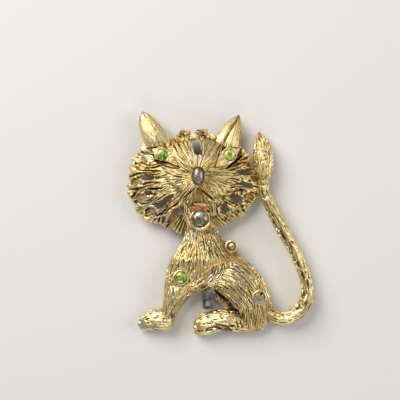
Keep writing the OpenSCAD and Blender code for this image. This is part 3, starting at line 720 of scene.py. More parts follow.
CHIN_AT = (0.03, -0.71)
MOUTH_AT = (0.0, -0.53)
MOUTH_MM = on_head(*MOUTH_AT)
CHIN_GIRDLE = 0.79 * CHEST_Z + 2 * SEAT_GAP + SEAT_WALL + PAVILION * CHIN_D
MOUTH_Z = 0.84 * FACE_Z
NOSE_Z = FACE_Z + 0.1
JAW_Z = CHIN_GIRDLE - 0.3
EYE_STAND = 0.5

REACH = smooth_rows(OUTLINE, 8)
SWELL = smooth_rows(DOME, 8)
MASK = smooth_rows(MASK_EDGE, 8)
EYES = (EYE_LEFT, EYE_RIGHT)


def reach(angle):
    """Distance from the nose to the rim at an angle in degrees, as a share of the ruff's radius"""
    return np.interp(angle % 360, REACH[:, 0], REACH[:, 1])


def dome(share):
    """Height of the bare dome in mm, at a share of the way from the nose to the rim"""
    return np.interp(share, SWELL[:, 0], SWELL[:, 1]) * FACE_Z


def dome_at(x, y):
    """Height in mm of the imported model's dome, which runs straight between the rows of its tables"""
    angle = math.degrees(math.atan2(y, x)) % 360
    return float(np.interp(math.hypot(x, y) / np.interp(angle, *zip(*OUTLINE)), *zip(*DOME)) * FACE_Z)


EYE_GIRDLES = [dome_at(eye[0], eye[1]) + EYE_STAND for eye in EYES]
print("eye girdles at", np.round(EYE_GIRDLES, 2), "mm, chin girdle at", round(CHIN_GIRDLE, 2), "mm")


# %% Fur rays of the ruff
RAYS = 44
RAY_SEED = 11
RAY_RUNS = 16


def strand(phase):
    """Rounded cross-section of the strand at each phase, from 0 at its edges to 1 on its crest"""
    return 1 - np.abs(2 * (phase % 1) - 1) ** 2.2


def torn(angle):
    """1 at the lower left of the rim, where it is torn most, and 0 elsewhere"""
    return step(200, 215, angle) * (1 - step(262, 275, angle))


def rays(share, angle, x, y):
    """Fur strands: how far each point lies under the dome in mm, how much of a crest it is, and its luck

    The strands fork once on their way out. On the forehead they hardly fork, and are broader near the nose.
    """
    turn = angle / 360 * RAYS
    sway = 1.6 * bumps(turn / 4, share * 1.9, RAY_SEED, RAYS // 4) + 0.55 * bumps(turn, share * 4, 12, RAYS)
    phase = turn + sway * step(0.05, 0.5, share)
    forked = 2 * phase + 2.0 * bumps(turn, share * 4, 13, RAYS)
    brow = step(45, 62, angle) * (1 - step(118, 138, angle))
    outer = step(0.42, 0.70, share) * (1 - 0.85 * brow)
    lift = bumps(np.floor(forked), share * 4.5, 14, 2 * RAYS)
    gap = bumps(np.floor(forked + 0.5), share * 5.5, 15, 2 * RAYS)
    crest = strand(phase) * (1 - outer) + strand(forked) * outer
    wide = 0.8 * brow * (1 - step(0.40, 0.66, share))
    crest = crest * (1 - wide) + strand(phase / 2) * wide
    shut = 1 - 0.6 * step(0.86, 0.98, share)
    depth = (0.17 + 0.10 * brow) * step(0.02, 0.2, share) + 1.7 * outer * gap ** 1.7 * shut
    lane = 0.4 * sway + 1.2 * bumps(turn / 2, share * 5, 16, RAYS // 2)
    cut = np.maximum(strokes(2.5 * turn + 2 * lane, 4.5 * share, 17, RAYS * 5 // 2, RAY_RUNS, 1, 0.4, 0.4),
                     strokes(4 * turn + lane, 4.5 * share, 18, 4 * RAYS, RAY_RUNS, 1, 0.4, 0.4))
    grain = bumps(x * 44, y * 44, 19)
    sink = -depth * (1 - crest) + 0.9 * outer * (lift - 0.6) * crest
    sink = sink - (0.22 - 0.09 * brow) * cut * step(0.08, 0.25, share) - 0.10 * grain * (0.4 + outer)
    broken = step(0.60, 0.75, share) * step(0.58, 0.85, bumps(forked, share * 15, 20, 2 * RAYS))
    return sink - (0.40 + 0.45 * torn(angle)) * broken * (1 - brow) * shut, crest, lift


# %% Wax for the face: pods, pads, plates and slits
PODS = [
    (-0.95, 0.17, 0.10), (-1.05, -0.11, 0.09), (-0.98, -0.36, 0.09), (-0.79, -0.60, 0.10),
    (-0.44, -0.70, 0.08), (0.86, 0.20, 0.06), (0.95, -0.04, 0.07), (0.84, -0.34, 0.07)]
PADS = [(-0.19, -0.19, -0.15, -0.33), (0.20, -0.18, 0.23, -0.31)]
CHEEKS = [(-0.22, -0.42, -0.21, -0.60), (0.24, -0.42, 0.24, -0.62)]
JAWS = [(-0.21, -0.60, -0.12, -0.82), (0.24, -0.62, 0.16, -0.84)]
LIPS = (-0.12, -0.46, 0.14, -0.46)
SLITS = [
    (-0.72, 0.265, -0.35, 0.125, 0.052, 1.6), (0.70, 0.31, 0.46, 0.115, 0.028, 1.0),
    (0.04, -0.22, 0.28, -0.42, 0.026, 0.9), (-0.05, -0.20, -0.24, -0.36, 0.018, 0.5),
    (-0.84, 0.47, -0.66, 0.50, 0.034, 1.0), (-0.42, 0.0, -0.26, -0.02, 0.014, 0.5),
    (-0.95, 0.10, -0.62, 0.08, 0.018, 0.9), (-0.90, -0.22, -0.60, -0.20, 0.024, 1.0)]


def near_bar(x, y, ax, ay, bx, by):
    """Distance to a bar, and the share of the way along it"""
    dx = bx - ax
    dy = by - ay
    t = np.clip(((x - ax) * dx + (y - ay) * dy) / (dx * dx + dy * dy + 1e-12), 0, 1)
    return np.hypot(x - ax - t * dx, y - ay - t * dy), t


def plate(x, y, eye, girdle):
    """Almond plate of an eye: 1 on it to 0 off it, and its height"""
    inner, t_in = near_bar(x, y, eye[0], eye[1], eye[2], eye[3])
    outer, t_out = near_bar(x, y, eye[0], eye[1], eye[4], eye[5])
    stone_r = (EYE_D / 2 + SEAT_WALL) / RUFF_R
    in_r = stone_r * (1 - t_in ** 2) + 0.022 * t_in
    out_r = stone_r * (1 - t_out) + 0.030 * t_out
    edge = np.minimum(inner - in_r, outer - out_r)
    top = girdle + GIRDLE * EYE_D - 0.25 * step(0.0, 0.05, inner - stone_r)
    z = np.where(inner - in_r < outer - out_r, top + 0.55 * t_in, top - 0.6 * t_out)
    return 1 - step(-0.010, 0.012, edge), z - 0.12 * bumps(x * 40, y * 40, 33)


def relief(share, angle, radius):
    """Heights of the face's outer side, in mm"""
    x = radius * np.cos(np.radians(angle))
    y = radius * np.sin(np.radians(angle))
    sink, _, luck = rays(share, angle, x, y)
    z = dome(share) + sink
    edge = np.interp(angle % 360, MASK[:, 0], MASK[:, 1]) * (0.90 + 0.20 * luck)
    z = z + 0.45 * (1 - step(edge - 0.05, edge + 0.03, radius)) - 0.15
    low = step(0.48, 0.60, radius) * step(-0.10, -0.26, y) * step(0.22, 0.36, x)
    pores = step(0.52, 0.82, bumps(x * 15 + y * 20, x * 9 - y * 7, 31))
    pores = pores + 0.45 * step(0.5, 0.85, bumps(x * 42, y * 42, 32))
    z = z * (1 - 0.6 * low) + 0.6 * low * (dome(share) - 0.25) - 0.55 * low * pores
    for px, py, size in PODS:
        out = np.hypot(px, py)
        along = ((x - px) * px + (y - py) * py) / out
        across = ((x - px) * py - (y - py) * px) / out
        far = np.hypot(along / 1.35, across * 1.15) / size + 0.7 * (bumps(x * 16, y * 16, 35) - 0.5)
        rim = 0.6 * np.exp(-((far - 0.95) / 0.2) ** 2)
        z = z * (1 - rim) + np.maximum(z, dome(share)) * rim
        pod = 0.88 * (1 - step(0.45, 0.88, far))
        z = z * (1 - pod) + (dome(share) - 0.8) * pod
    for bar in PADS:
        z = z + 0.35 * (1 - step(0, 1.25 * PAD_R / RUFF_R, near_bar(x, y, *bar)[0]))
    wide = 0.02 + 0.40 * np.maximum(-y - 0.17, 0)
    z = z - (0.50 * (1 - step(0.7 * wide, wide, np.abs(x - 0.01)))
             * step(-0.16, -0.22, y) * step(-0.56, -0.46, y))
    for eye, girdle in zip(EYES, EYE_GIRDLES):
        on, top = plate(x, y, eye, girdle)
        z = z * (1 - on) + top * on
    for ax, ay, bx, by, wide, deep in SLITS:
        far, t = near_bar(x, y, ax, ay, bx, by)
        z = z - deep * (1 - step(0.4 * wide, wide, far / (0.30 + 2.8 * t * (1 - t))))
    return x, y, z


print("the face has", RAYS, "rays,", len(PODS), "pods and", len(SLITS), "slits")

# %% [markdown]
# ## Casting the head
# The relief becomes the outer skin of a hollow dome. Its inner skin follows at the wall's thickness, the
# rim is jagged where the rays end, and one closed tube of rings makes both. Ears, tufts and the muzzle are
# added, then the gaps between the rays are cut right through, as they are in the real openwork.

# %% The dome as one tube of rings, from the nose out and back inside
TURNS = 600
OUTER = np.concatenate([np.linspace(0.05, 0.30, 16), np.linspace(0.30, 1.0, 84)[1:]])
INNER = (0.95, 0.86, 0.7, 0.5, 0.3, 0.12)
INNER_DROP = 0.75


def inner_z(share):
    """Height in mm of the dome's inner side"""
    return dome(share) - HEAD_WALL - INNER_DROP * step(0.4, 0.7, share)


def dome_sections():
    """Rings of places in mm, from the nose out to the rim and back to the nose inside"""
    angle = np.arange(TURNS)[None, :] * 360 / TURNS
    share = OUTER[:, None]
    far = share * reach(angle)
    _, crest, luck = rays(share, angle, far, far)
    end = step(0.80, 1.0, share)
    ragged = bumps(angle / 360 * 30, share * 0, 34, 30) + 0.8 * bumps(angle / 4, share * 0, 35, 90) - 0.9
    by_tuft = 1 - step(9, 20, np.abs((angle + 186) % 360 - 180))
    uneven = (0.05 * (luck - 0.5) + (0.06 + 0.05 * torn(angle)) * ragged) * (1 - by_tuft) + 0.035 * by_tuft
    radius = far * (1 - 0.025 * end * (1 - crest) + end * uneven)
    x, y, z = relief(share, angle, radius)
    z = np.maximum(z, inner_z(share) + 0.30)
    rings = [np.stack([NOSE[0] + RUFF_R * x, NOSE[1] + RUFF_R * y, z], -1)]
    turn = np.radians(angle[0])
    for s in INNER:
        r = s * reach(angle[0]) * RUFF_R
        low = np.full(TURNS, inner_z(s))
        rings.append(np.stack([NOSE[0] + r * np.cos(turn), NOSE[1] + r * np.sin(turn), low], -1)[None])
    return np.concatenate(rings)


def dome_comb():
    """Place on a ring around the nose and distance out from it, in mm, for each point of the dome"""
    turn = np.arange(TURNS)[None, :] / TURNS * 2 * np.pi
    out = np.concatenate([OUTER, INNER])[:, None]
    wide = np.where(out < 0.25, 0.35, 1.0)
    return RUFF_R * np.stack(np.broadcast_arrays(wide * np.cos(turn), wide * np.sin(turn), out), -1)


head = skin("brooch_head", dome_sections(), dome_comb())
print("dome:", len(head.data.polygons), "faces,", loose_edges(head), "loose edges")


# %% Shapes of the ears, the muzzle, the chin and the nose
SQUARE = 2.7


def ear_skin(pitch, depth, seed, groove=0.0):
    """An ear is nearly smooth, with fine lines along it and at most one long groove"""
    def press(u, v, across, along):
        lines = -depth * (1 - hair(u, v, pitch, 6.0, seed))
        dents = 0.10 * bumps(u / 1.4, v / 1.6, seed + 5)
        return lines - dents - groove * np.exp(-((across - 0.56) / 0.07) ** 2) * step(0.05, 0.4, along)
    return press


def head_bar(name, bar, radius, z1, z2):
    """Round bar between two places on the head"""
    return rounded_bar(name, (*on_head(*bar[:2]), z1), (*on_head(*bar[2:]), z2), radius)


def raised(name, bm, height):
    """Closed solid between a bmesh's flat face and the same face at some height above it"""
    top = bmesh.ops.extrude_face_region(bm, geom=list(bm.faces))["geom"]
    bmesh.ops.translate(bm, verts=[g for g in top if isinstance(g, bmesh.types.BMVert)], vec=(0, 0, height))
    bmesh.ops.recalc_face_normals(bm, faces=bm.faces)
    return new_piece(name, bm)


def mouth_oval(name, grow, low, high):
    """Stadium shape of the mouth between two heights in mm"""
    half = (MOUTH_W - MOUTH_H) / 2
    bm = bmesh.new()
    bmesh.ops.create_circle(bm, cap_ends=True, segments=40, radius=MOUTH_H / 2 + grow)
    for vert in bm.verts:
        vert.co.x += math.copysign(half, vert.co.x)
        vert.co.z = low
    bmesh.ops.translate(bm, verts=list(bm.verts), vec=(*MOUTH_MM, 0))
    return raised(name, bm, high - low)


def chin_cup():
    """Cup under the chin stone, with a thin lip that stands a little proud"""
    depth = PAVILION * CHIN_D + SEAT_WALL
    wide = CHIN_D / 2 + SEAT_WALL
    top = CHIN_GIRDLE + GIRDLE * CHIN_D
    levels = [(CHIN_GIRDLE - depth, 0.35 * CHIN_D), (CHIN_GIRDLE - 0.3, 0.94 * wide), (top - 0.05, wide),
              (top + 0.06, wide - 0.12), (top + 0.02, wide - 0.25)]
    return turned("cup", on_head(*CHIN_AT), levels, 64)


def chin_crescent(start, end, count):
    """Thick gold lip around the lower half of the cup, thinnest at its two ends"""
    at = on_head(*CHIN_AT)
    wide = CHIN_D / 2 + SEAT_WALL
    for i in range(count):
        share = i / (count - 1)
        a, b = (math.radians(start + (end - start) * k) for k in (share, share + 0.6 / count))
        size = 0.26 + 0.22 * math.sin(math.pi * share)
        ends = [(at[0] + wide * math.cos(k), at[1] + wide * math.sin(k), CHIN_GIRDLE - 0.15) for k in (a, b)]
        yield rounded_bar("crescent", *ends, size)


def nose_bead(name, grow, bumpy=0.0):
    """Oval bead of the nose, a little square, grown by some mm and dented by up to a share of its size"""
    bm = bmesh.new()
    bmesh.ops.create_uvsphere(bm, u_segments=48, v_segments=32, radius=1)
    for vert in bm.verts:
        n = vert.co.normalized()
        n = n / (abs(n.x) ** SQUARE + abs(n.y) ** SQUARE + abs(n.z) ** SQUARE) ** (1 / SQUARE)
        k = 1 - bumpy * float(bumps(np.array(n.x * 1.6 + 3), np.array(n.y * 1.8 + n.z + 5), 261))
        vert.co = Vector((n.x * (NOSE_W / 2 + grow) * k, n.y * (NOSE_L / 2 + grow) * k,
                          n.z * (NOSE_W / 2 + grow) * k)) + Vector((NOSE[0], NOSE[1], NOSE_Z))
    return new_piece(name, bm)


# %% Ears, tufts, muzzle and jaw, fused to the dome
RIM_STRAND_R = 0.25
SURROUND = (MOUTH_MM[0] - 1.15, MOUTH_MM[0] + 1.15)

parts = []
for table, press in ((EAR_LEFT, ear_skin(0.42, 0.13, 201)), (EAR_RIGHT, ear_skin(0.45, 0.16, 211, 0.32))):
    rungs = limb_rungs(table, 12, on_head, FACE_Z)
    parts.append(skin("ear", arches(rungs, 60, press, base=EAR_Z), limb_comb(rungs, 60)))
for line in RIM_STRANDS:
    for bar in lay_strand(head, [on_head(x, y) for x, y in line], RIM_STRAND_R):
        combine(head, roughened(bar, 0.3, 0.6, 0.12, len(head.data.vertices)), "UNION")
for name, lines, radius, z1, z2, rough, seed in (
        ("tuft", TOP_TUFTS, 0.66, 0.50 * FACE_Z, 0.54 * FACE_Z, (0.36, 0.36, 0.40), 221),
        ("cheek", CHEEKS, JAW_R, MOUTH_Z - 0.6 * JAW_R, JAW_Z, (0.30, 0.8, 0.62), 241),
        ("jaw", JAWS, JAW_R, JAW_Z, JAW_Z - 0.5 * JAW_R, (0.30, 0.8, 0.62), 251),
        ("lips", [LIPS], JAW_R, MOUTH_Z - 1.2 * JAW_R, MOUTH_Z - 1.2 * JAW_R, (0.3, 0.5, 0.4), 261)):
    for i, line in enumerate(lines):
        parts.append(roughened(head_bar(name, line, radius, z1, z2), *rough, seed + 2 * i))
surround = rounded_bar("surround", *[(x, MOUTH_MM[1], MOUTH_Z - 0.95) for x in SURROUND], 0.90)
lip = head_bar("lip", (-0.17, -0.53, -0.14, -0.68), 0.5, CHIN_GIRDLE, CHIN_GIRDLE)
throat = head_bar("throat", (0.0, -0.50, 0.03, -0.70), 1.3, MOUTH_Z - MOUTH_DEPTH - 1.5, CHIN_GIRDLE - 1.2)
parts += [roughened(surround, 0.3, 0.3, 0.25, 271), roughened(lip, 0.5, 0.8, 0.2, 281), throat, chin_cup()]
parts += [*chin_crescent(195, 375, 7), nose_bead("socket", 0.3 * SEAT_WALL)]
for part in parts:
    combine(head, part, "UNION")
print("head joined:", len(head.data.polygons), "faces,", loose_edges(head), "loose edges")


# %% Gaps between the rays, seats, and room for the neck and the tuft
GAP_POINTS = 60
WINDOWS = [
    [(-0.130, 0.60), (-0.065, 0.36), (0.075, 0.335), (0.00, 0.60)],
    [(0.105, 0.590), (0.205, 0.49), (0.235, 0.585)],
    [(0.62, 0.078), (0.72, 0.125), (0.87, 0.096), (0.89, 0.035), (0.68, 0.022)],
    [(0.60, -0.127), (0.74, -0.078), (0.89, -0.125), (0.91, -0.222), (0.84, -0.200), (0.72, -0.158)]]


def shaft(outline):
    """Closed straight shaft through an outline in mm, from under the head to above it"""
    bm = bmesh.new()
    bmesh.ops.create_circle(bm, cap_ends=True, segments=len(outline), radius=1)
    for vert, (x, y) in zip(bm.verts, outline):
        vert.co = (x, y, -1)
    return raised("gap", bm, 20)


def ray_gap(gap, seed):
    """Ragged hole between two strands, shaped like a drop"""
    angle, near, far, half = gap
    turn = np.radians(angle)
    way = np.array([np.cos(turn), np.sin(turn)])
    side = np.array([-way[1], way[0]])
    near_r = near * RUFF_R * math.sin(math.radians(half))
    far_r = far * RUFF_R * math.sin(math.radians(half))
    around = np.arange(GAP_POINTS) / GAP_POINTS
    x = np.cos(2 * np.pi * around)
    share = 0.5 + 0.5 * np.tanh(3 * x)
    r = (near_r + (far_r - near_r) * share) * (0.70 + 0.50 * bumps(around * 14, x * 0, seed, 14))
    along = near * RUFF_R + near_r + ((far - near) * RUFF_R - far_r - near_r) * share + r * x
    outline = NOSE + along[:, None] * way + (r * np.sin(2 * np.pi * around))[:, None] * side
    return shaft(outline.tolist())


def corner_gap(corners, seed):
    """Ragged hole with corners, given by places on the head"""
    corners = on_head(*np.array(corners).T)
    each = GAP_POINTS // len(corners)
    share = np.arange(each)[:, None] / each
    outline = np.concatenate([a + (b - a) * share for a, b in zip(corners, np.roll(corners, -1, axis=0))])
    middle = corners.mean(0)
    around = np.arange(len(outline)) / len(outline) * 12
    wave = 0.88 + 0.24 * bumps(around, 0 * around, seed, 12)
    return shaft((middle + (outline - middle) * wave[:, None]).tolist())


cuts = [corner_gap(corners, 291 + i) for i, corners in enumerate(WINDOWS)]
cuts += [ray_gap(gap, 301 + i) for i, gap in enumerate(GAPS)]
cuts += [
    nose_bead("socket", SEAT_GAP),
    block("worn", (NOSE[0] - NOSE_W, NOSE[1] - NOSE_L, NOSE_Z + 0.15 * NOSE_W),
          (NOSE[0] + NOSE_W, NOSE[1] + NOSE_L, NOSE_Z + 2 * NOSE_W)),
    mouth_oval("mouth", SEAT_GAP, MOUTH_Z - MOUTH_DEPTH - SEAT_GAP, MOUTH_Z + UNDER),
    stone_seat(on_head(*CHIN_AT), CHIN_GIRDLE, CHIN_D)]
cuts += [stone_seat(on_head(*eye[:2]), girdle, EYE_D) for eye, girdle in zip(EYES, EYE_GIRDLES)]
cuts += [skin("room", arches(rungs, 33, grow=3 * SEAT_GAP, foot=-UNDER))
         for rungs in (limb_rungs(NECK_CHEST, 6)[:25], limb_rungs(TUFT, 6), tail_rungs(6)[:25])]
cuts += [rounded_bar("room", *lock_ends(row, LOCK_R), LOCK_R + 3 * SEAT_GAP) for row in LOCKS]
for cut in cuts:
    combine(head, cut, "DIFFERENCE")
print("head cut:", len(head.data.polygons), "faces,", loose_edges(head), "loose edges")

# %% [markdown]
# ## Where the metal is worn, dirty or bare, and where shade is painted on it
# Old plating is bright on the crests, brown with dirt in the grooves and silvery where it has rubbed off.
# The shader can't see a groove, so each vertex gets a colour called relief: red is how deep it lies below
# its neighbours, green is bare metal, blue is warm amber and alpha is dirt together with painted shade, which
# darkens the crease under the haunch, the cut fold and cracks, the eye slits, the ear's groove and one side
# of the tail. The depth is worked out on the finished mesh by relaxing a copy of it: what the copy leaves
# below itself is a groove. Each spot is a place in mm, its radius and its strength.

# %% Places of bare metal, amber, dirt, painted shade and clean metal
SILVER_SPOTS = [
    (-18.3, 24.8, 1.5, 1.0), (-17.9, -22.9, 1.8, 0.9), (-1.6, -12.2, 2.4, 0.5), (-0.2, -24.2, 1.8, 0.6),
    (-11.5, -17.0, 2.0, 0.4), (-7.0, -2.6, 2.6, 0.5), (-12.4, -8.0, 2.4, 0.4), (8.1, -16.9, 1.75, 0.55),
    (-4.6, 20.2, 1.0, 0.5), (-14.5, 3.4, 3.0, 0.5), (-17.0, 15.5, 2.4, 0.5), (-17.6, 8.5, 3.0, 0.45),
    (-11.4, -1.2, 2.5, 0.4), (-9.2, 2.6, 1.2, 0.5), (1.7, -4.9, 1.0, 0.5), (1.6, -12.8, 3.2, 0.3),
    (-8.8, -9.4, 1.6, 0.4), (-14.9, -14.2, 1.6, 0.5), (2.8, -11.2, 3.4, 0.36), (*SHOULDER_CUP_AT, 1.0, 0.5),
    (*on_head(0.72, -0.42), 2.2, 0.36), (-17.8, 5.0, 2.6, 0.5), (-13.4, 0.9, 2.8, 0.5),
    (-10.2, 9.4, 3.6, 0.36), (*on_head(-0.04, 0.36), 3.6, 0.55), (*NOSE, 2.5, 0.75),
    (*on_head(-0.09, -0.17), 1.1, 0.9)]
SILVER_SPOTS += [(*(HAUNCH_CUP_AT + (1.4 * math.cos(turn), 1.4 * math.sin(turn))), 0.62, 1.0)
                 for turn in np.radians([185, 205, 225, 245, 265, 285, 305, 325])]
AMBER_SPOTS = [(*on_head(px, py), 1.35, 0.9) for px, py, _ in PODS] + [
    (*on_head(0.01, -0.28), 1.0, 0.9), (*on_head(0.01, -0.40), 1.3, 0.8), (2.9, -6.9, 1.4, 0.9),
    (*on_head(-0.18, -0.64), 0.9, 0.5), (*on_head(-0.26, 0.68), 2.0, 0.9), (*on_head(-0.14, 0.64), 1.3, 0.6),
    (*on_head(0.05, 0.70), 1.8, 0.9), (*on_head(0.22, 0.65), 1.0, 0.5), (*on_head(0.98, -0.02), 1.6, 0.6),
    (*on_head(0.6, -0.62), 2.0, 0.3), (-4.7, -10.2, 1.5, 0.6), (*MOUTH_MM, 1.5, 0.9),
    (-7.2, -5.9, 1.9, 0.5), (-9.8, -6.4, 1.5, 0.4), (-9.3, -15.6, 1.5, 0.6), (-10.5, -18.6, 1.3, 0.5),
    (*on_head(-0.85, 0.85), 3.8, 0.34), (*on_head(0.60, 0.80), 4.0, 0.60)]
GRIME_SPOTS = [
    (-9.9, -14.5, 0.9, 0.9), (10.5, -19.2, 0.9, 0.6), (10.6, -21.6, 1.0, 0.8), (7.6, 11.4, 1.1, 0.8),
    (8.6, 10.4, 0.8, 0.8), (1.2, -23.8, 1.5, 1.0), (3.4, -23.4, 1.4, 1.0), (-7.4, -4.4, 1.8, 0.5),
    (-1.4, -23.2, 1.2, 0.9), (-16.2, -23.9, 1.0, 0.55), (-18.7, 24.6, 0.7, 0.7),
    (-4.6, -14.0, 1.1, 1.0), (*on_head(-0.82, 0.80), 4.0, 0.26), (*on_head(0.60, 0.80), 4.0, 0.32),
    (*on_head(0.0, 0.36), 3.4, 0.30), (*PIT_AT, 0.6, 1.0), (*on_head(-0.27, 0.70), 1.5, 1.5),
    (*on_head(0.06, 0.72), 1.6, 1.7)]
# Painted shade along the right ear's groove
EAR_GROOVE_SHADE = [(3.85, 24.3, 0.20), (3.1, 22.9, 0.34), (2.1, 21.1, 0.16)]
# Painted shade in the crease under the haunch, over the red-brown dirt that lies in it
CREASE = [(-5.4, -12.8, 1.1), (-3.2, -15.0, 1.8), (0.4, -17.6, 2.1), (2.8, -19.4, 2.1), (4.4, -20.6, 1.4)]
SEAM_DIRT = [(x, y + 0.5, 0.8) for x, y in SEAM]
# Painted shade along one side of the tail: a line nearer the first edge of each rung
TAIL_SIDE_SHADE = [(*(0.62 * r[0:2] + 0.38 * r[2:4]), 0.95) for r in tail_rungs(1)[1:11]]
# Lines of painted shade with their strengths; the crease's line also stands for its red-brown dirt
SHADE_AND_DIRT_LINES = [(CREASE, 0.95), (TAIL_SIDE_SHADE, 0.85), (EAR_GROOVE_SHADE, 1.9)]
# Painted shade inside the cut fold and cracks
SHADE_AND_DIRT_LINES += [([(*a, 1.6 * radius), (*b, 1.6 * radius)], 1.3) for a, b, radius in FOLD + CRACKS]
# Painted shade in the two slits under the eyes
SHADE_AND_DIRT_LINES += [([(*on_head(x, y), 1.3 * wide * RUFF_R) for x, y in ((ax, ay), (bx, by))], 0.9)
               for ax, ay, bx, by, wide, _ in SLITS[:2]]
CLEAN_SPOTS = [
    (*SHOULDER_CUP_AT, 1.25, 1.0), (*HAUNCH_CUP_AT, 1.5, 1.0), (*on_head(0.0, 0.10), 8.5, 0.45),
    (*on_head(-0.40, 0.34), 5.0, 0.55), (*on_head(0.34, 0.36), 4.6, 0.50), (*on_figure(72.4, 80), 5.0, 0.42),
    (*on_head(-0.42, -0.06), 5.0, 0.35), (*on_head(0.40, 0.24), 2.0, 0.8), (*on_head(-0.47, 0.25), 2.0, 0.8),
    (-7.5, -8.6, 6.5, 0.40), (-12.6, -8.8, 4.6, 0.45), (4.5, -11.5, 6.0, 0.48)]
print("spots:", len(SILVER_SPOTS), "silver,", len(AMBER_SPOTS), "amber,", len(GRIME_SPOTS), "dirty and",
      len(CLEAN_SPOTS), "clean, with", len(SHADE_AND_DIRT_LINES), "lines of dirt")


# %% Groove depth and wear for every vertex
def groove_depth(mesh, co, normal, rounds):
    """Distance in mm of each vertex below the relaxed surface, along its normal"""
    edges = np.empty(len(mesh.edges) * 2, int)
    mesh.edges.foreach_get("vertices", edges)
    a, b = edges.reshape(-1, 2).T
    count = np.bincount(a, minlength=len(co)) + np.bincount(b, minlength=len(co))
    soft = co.copy()
    for _ in range(rounds):
        total = np.stack([np.bincount(a, soft[b, k], len(co)) + np.bincount(b, soft[a, k], len(co))
                          for k in range(3)], -1)
        soft = 0.3 * soft + 0.7 * total / count[:, None]
    return ((soft - co) * normal).sum(1)


def spots(co, places):
    """Strength of the spots at each vertex: each is full in its middle and fades out at its radius"""
    out = np.zeros(len(co))
    for x, y, radius, strength in places:
        far = np.hypot(co[:, 0] - x, co[:, 1] - y)
        out = np.maximum(out, strength * (1 - step(0.3 * radius, radius, far)))
    return out


def line_mask(co, line):
    """Strength along a line of (x, y, half width) in mm, used for amber, dirt and painted shade"""
    far = np.full(len(co), 9.0)
    for (ax, ay, a_wide), (bx, by, b_wide) in zip(line, line[1:]):
        away, t = near_bar(co[:, 0], co[:, 1], ax, ay, bx, by)
        far = np.minimum(far, away / (a_wide + (b_wide - a_wide) * t))
    return 1 - step(0.35, 1.0, far)


def record_wear(piece):
    """Writes the colour called relief on a piece"""
    mesh = piece.data
    co = per_vertex(mesh, "co")
    normal = per_vertex(mesh, "normal")
    fine = groove_depth(mesh, co, normal, 6)
    broad = groove_depth(mesh, co, normal, 40)
    depth = np.clip(0.5 + fine / 0.13 + broad / 0.60, 0, 1)
    clean = spots(co, CLEAN_SPOTS)
    depth = depth * (1 - clean) + 0.45 * clean
    lines = np.max([strength * line_mask(co, line) for line, strength in SHADE_AND_DIRT_LINES], axis=0)
    in_groove = step(0.3, 0.6, depth)
    colours = np.empty((len(co), 4), np.float32)
    colours[:, 0] = depth
    colours[:, 1] = spots(co, SILVER_SPOTS)
    colours[:, 2] = np.maximum(spots(co, AMBER_SPOTS), 0.8 * line_mask(co, SEAM_DIRT))
    # Alpha: dirt spots, and the lines of painted shade in the crease, fold, cracks, slits, ear groove and
    # along the tail
    colours[:, 3] = np.maximum(spots(co, GRIME_SPOTS) * (0.3 + 0.7 * in_groove),
                               lines * (0.55 + 0.45 * in_groove))
    layer = mesh.color_attributes.new("relief", "FLOAT_COLOR", "POINT")
    layer.data.foreach_set("color", colours.ravel())
    print(piece.name, "groove depth: mean", depth.mean().round(3), "spread", depth.std().round(3), "layers",
          [a.name for a in mesh.attributes])


def finish_piece(piece, material, slot, replaced, smooth=True, angle=60):
    """Brings a piece from mm to metres, shades it and hands it to the frame"""
    mesh = piece.data
    mesh.transform(Matrix.Scale(MM, 4))
    mesh.materials.clear()
    mesh.materials.append(material)
    if smooth:
        mesh.shade_smooth()
        mesh.set_sharp_from_angle(angle=math.radians(angle))
    else:
        mesh.shade_flat()
    mesh.update()
    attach(piece, "root")
    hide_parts(replaced)
    print(piece.name, "is done:", sum(len(p.vertices) - 2 for p in mesh.polygons), "triangles")


record_wear(body)
record_wear(head)

# %% [markdown]
# ## Gold-tone plating
# The base colour runs from a pale champagne on the crests through gold to dark brown in the grooves. Soft
# noise breaks it into warmer and cooler patches, bare spots turn to grey nickel, and a fine grain in the
# bump keeps the metal from looking like plastic.


# %% Short ways to write nodes
def feed(tree, node, inputs):
    """Fills a node's inputs, by name or number, each with a link from a socket or with a constant"""
    for name, value in inputs.items():
        if isinstance(value, bpy.types.NodeSocket):
            tree.links.new(value, node.inputs[name])
        else:
            node.inputs[name].default_value = value


def add_node(tree, kind, inputs, **settings):
    """New node with its settings and inputs"""
    node = tree.nodes.new("ShaderNode" + kind)
    for name, value in settings.items():
        setattr(node, name, value)
    feed(tree, node, inputs)
    return node


def own_place(tree):
    """Place in the object's own coordinates, in metres"""
    return add_node(tree, "TexCoord", {}).outputs["Object"]


def ramp(tree, value, stops):
    """Colour at a value, from a ramp through (place, colour) stops"""
    node = add_node(tree, "ValToRGB", {"Fac": value})
    elements = node.color_ramp.elements
    while len(elements) < len(stops):
        elements.new(0.5)
    for element, (place, colour) in zip(elements, stops):
        element.position = place
        element.color = (*colour, 1)
    return node.outputs["Color"]


def noise(tree, where, scale, detail=3.0, rough=0.55):
    """Noise over coordinates, with features of about 1 / scale of their unit"""
    inputs = {"Vector": where, "Scale": scale, "Detail": detail, "Roughness": rough}
    return add_node(tree, "TexNoise", inputs).outputs["Fac"]


def mixed(tree, factor, a, b, blend="MIX"):
    """Mixes two colours, each a socket or a constant"""
    inputs = {"Factor": factor, 6: a, 7: b}
    return add_node(tree, "Mix", inputs, data_type="RGBA", blend_type=blend).outputs[2]


def ranged(tree, value, low, high, to_low, to_high):
    """Value taken from one range to another, and kept inside it"""
    inputs = {"Value": value, "From Min": low, "From Max": high, "To Min": to_low, "To Max": to_high}
    return add_node(tree, "MapRange", inputs).outputs["Result"]


def added(tree, total, *values):
    """Sum of value sockets"""
    for value in values:
        total = add_node(tree, "Math", {0: total, 1: value}, operation="ADD").outputs["Value"]
    return total


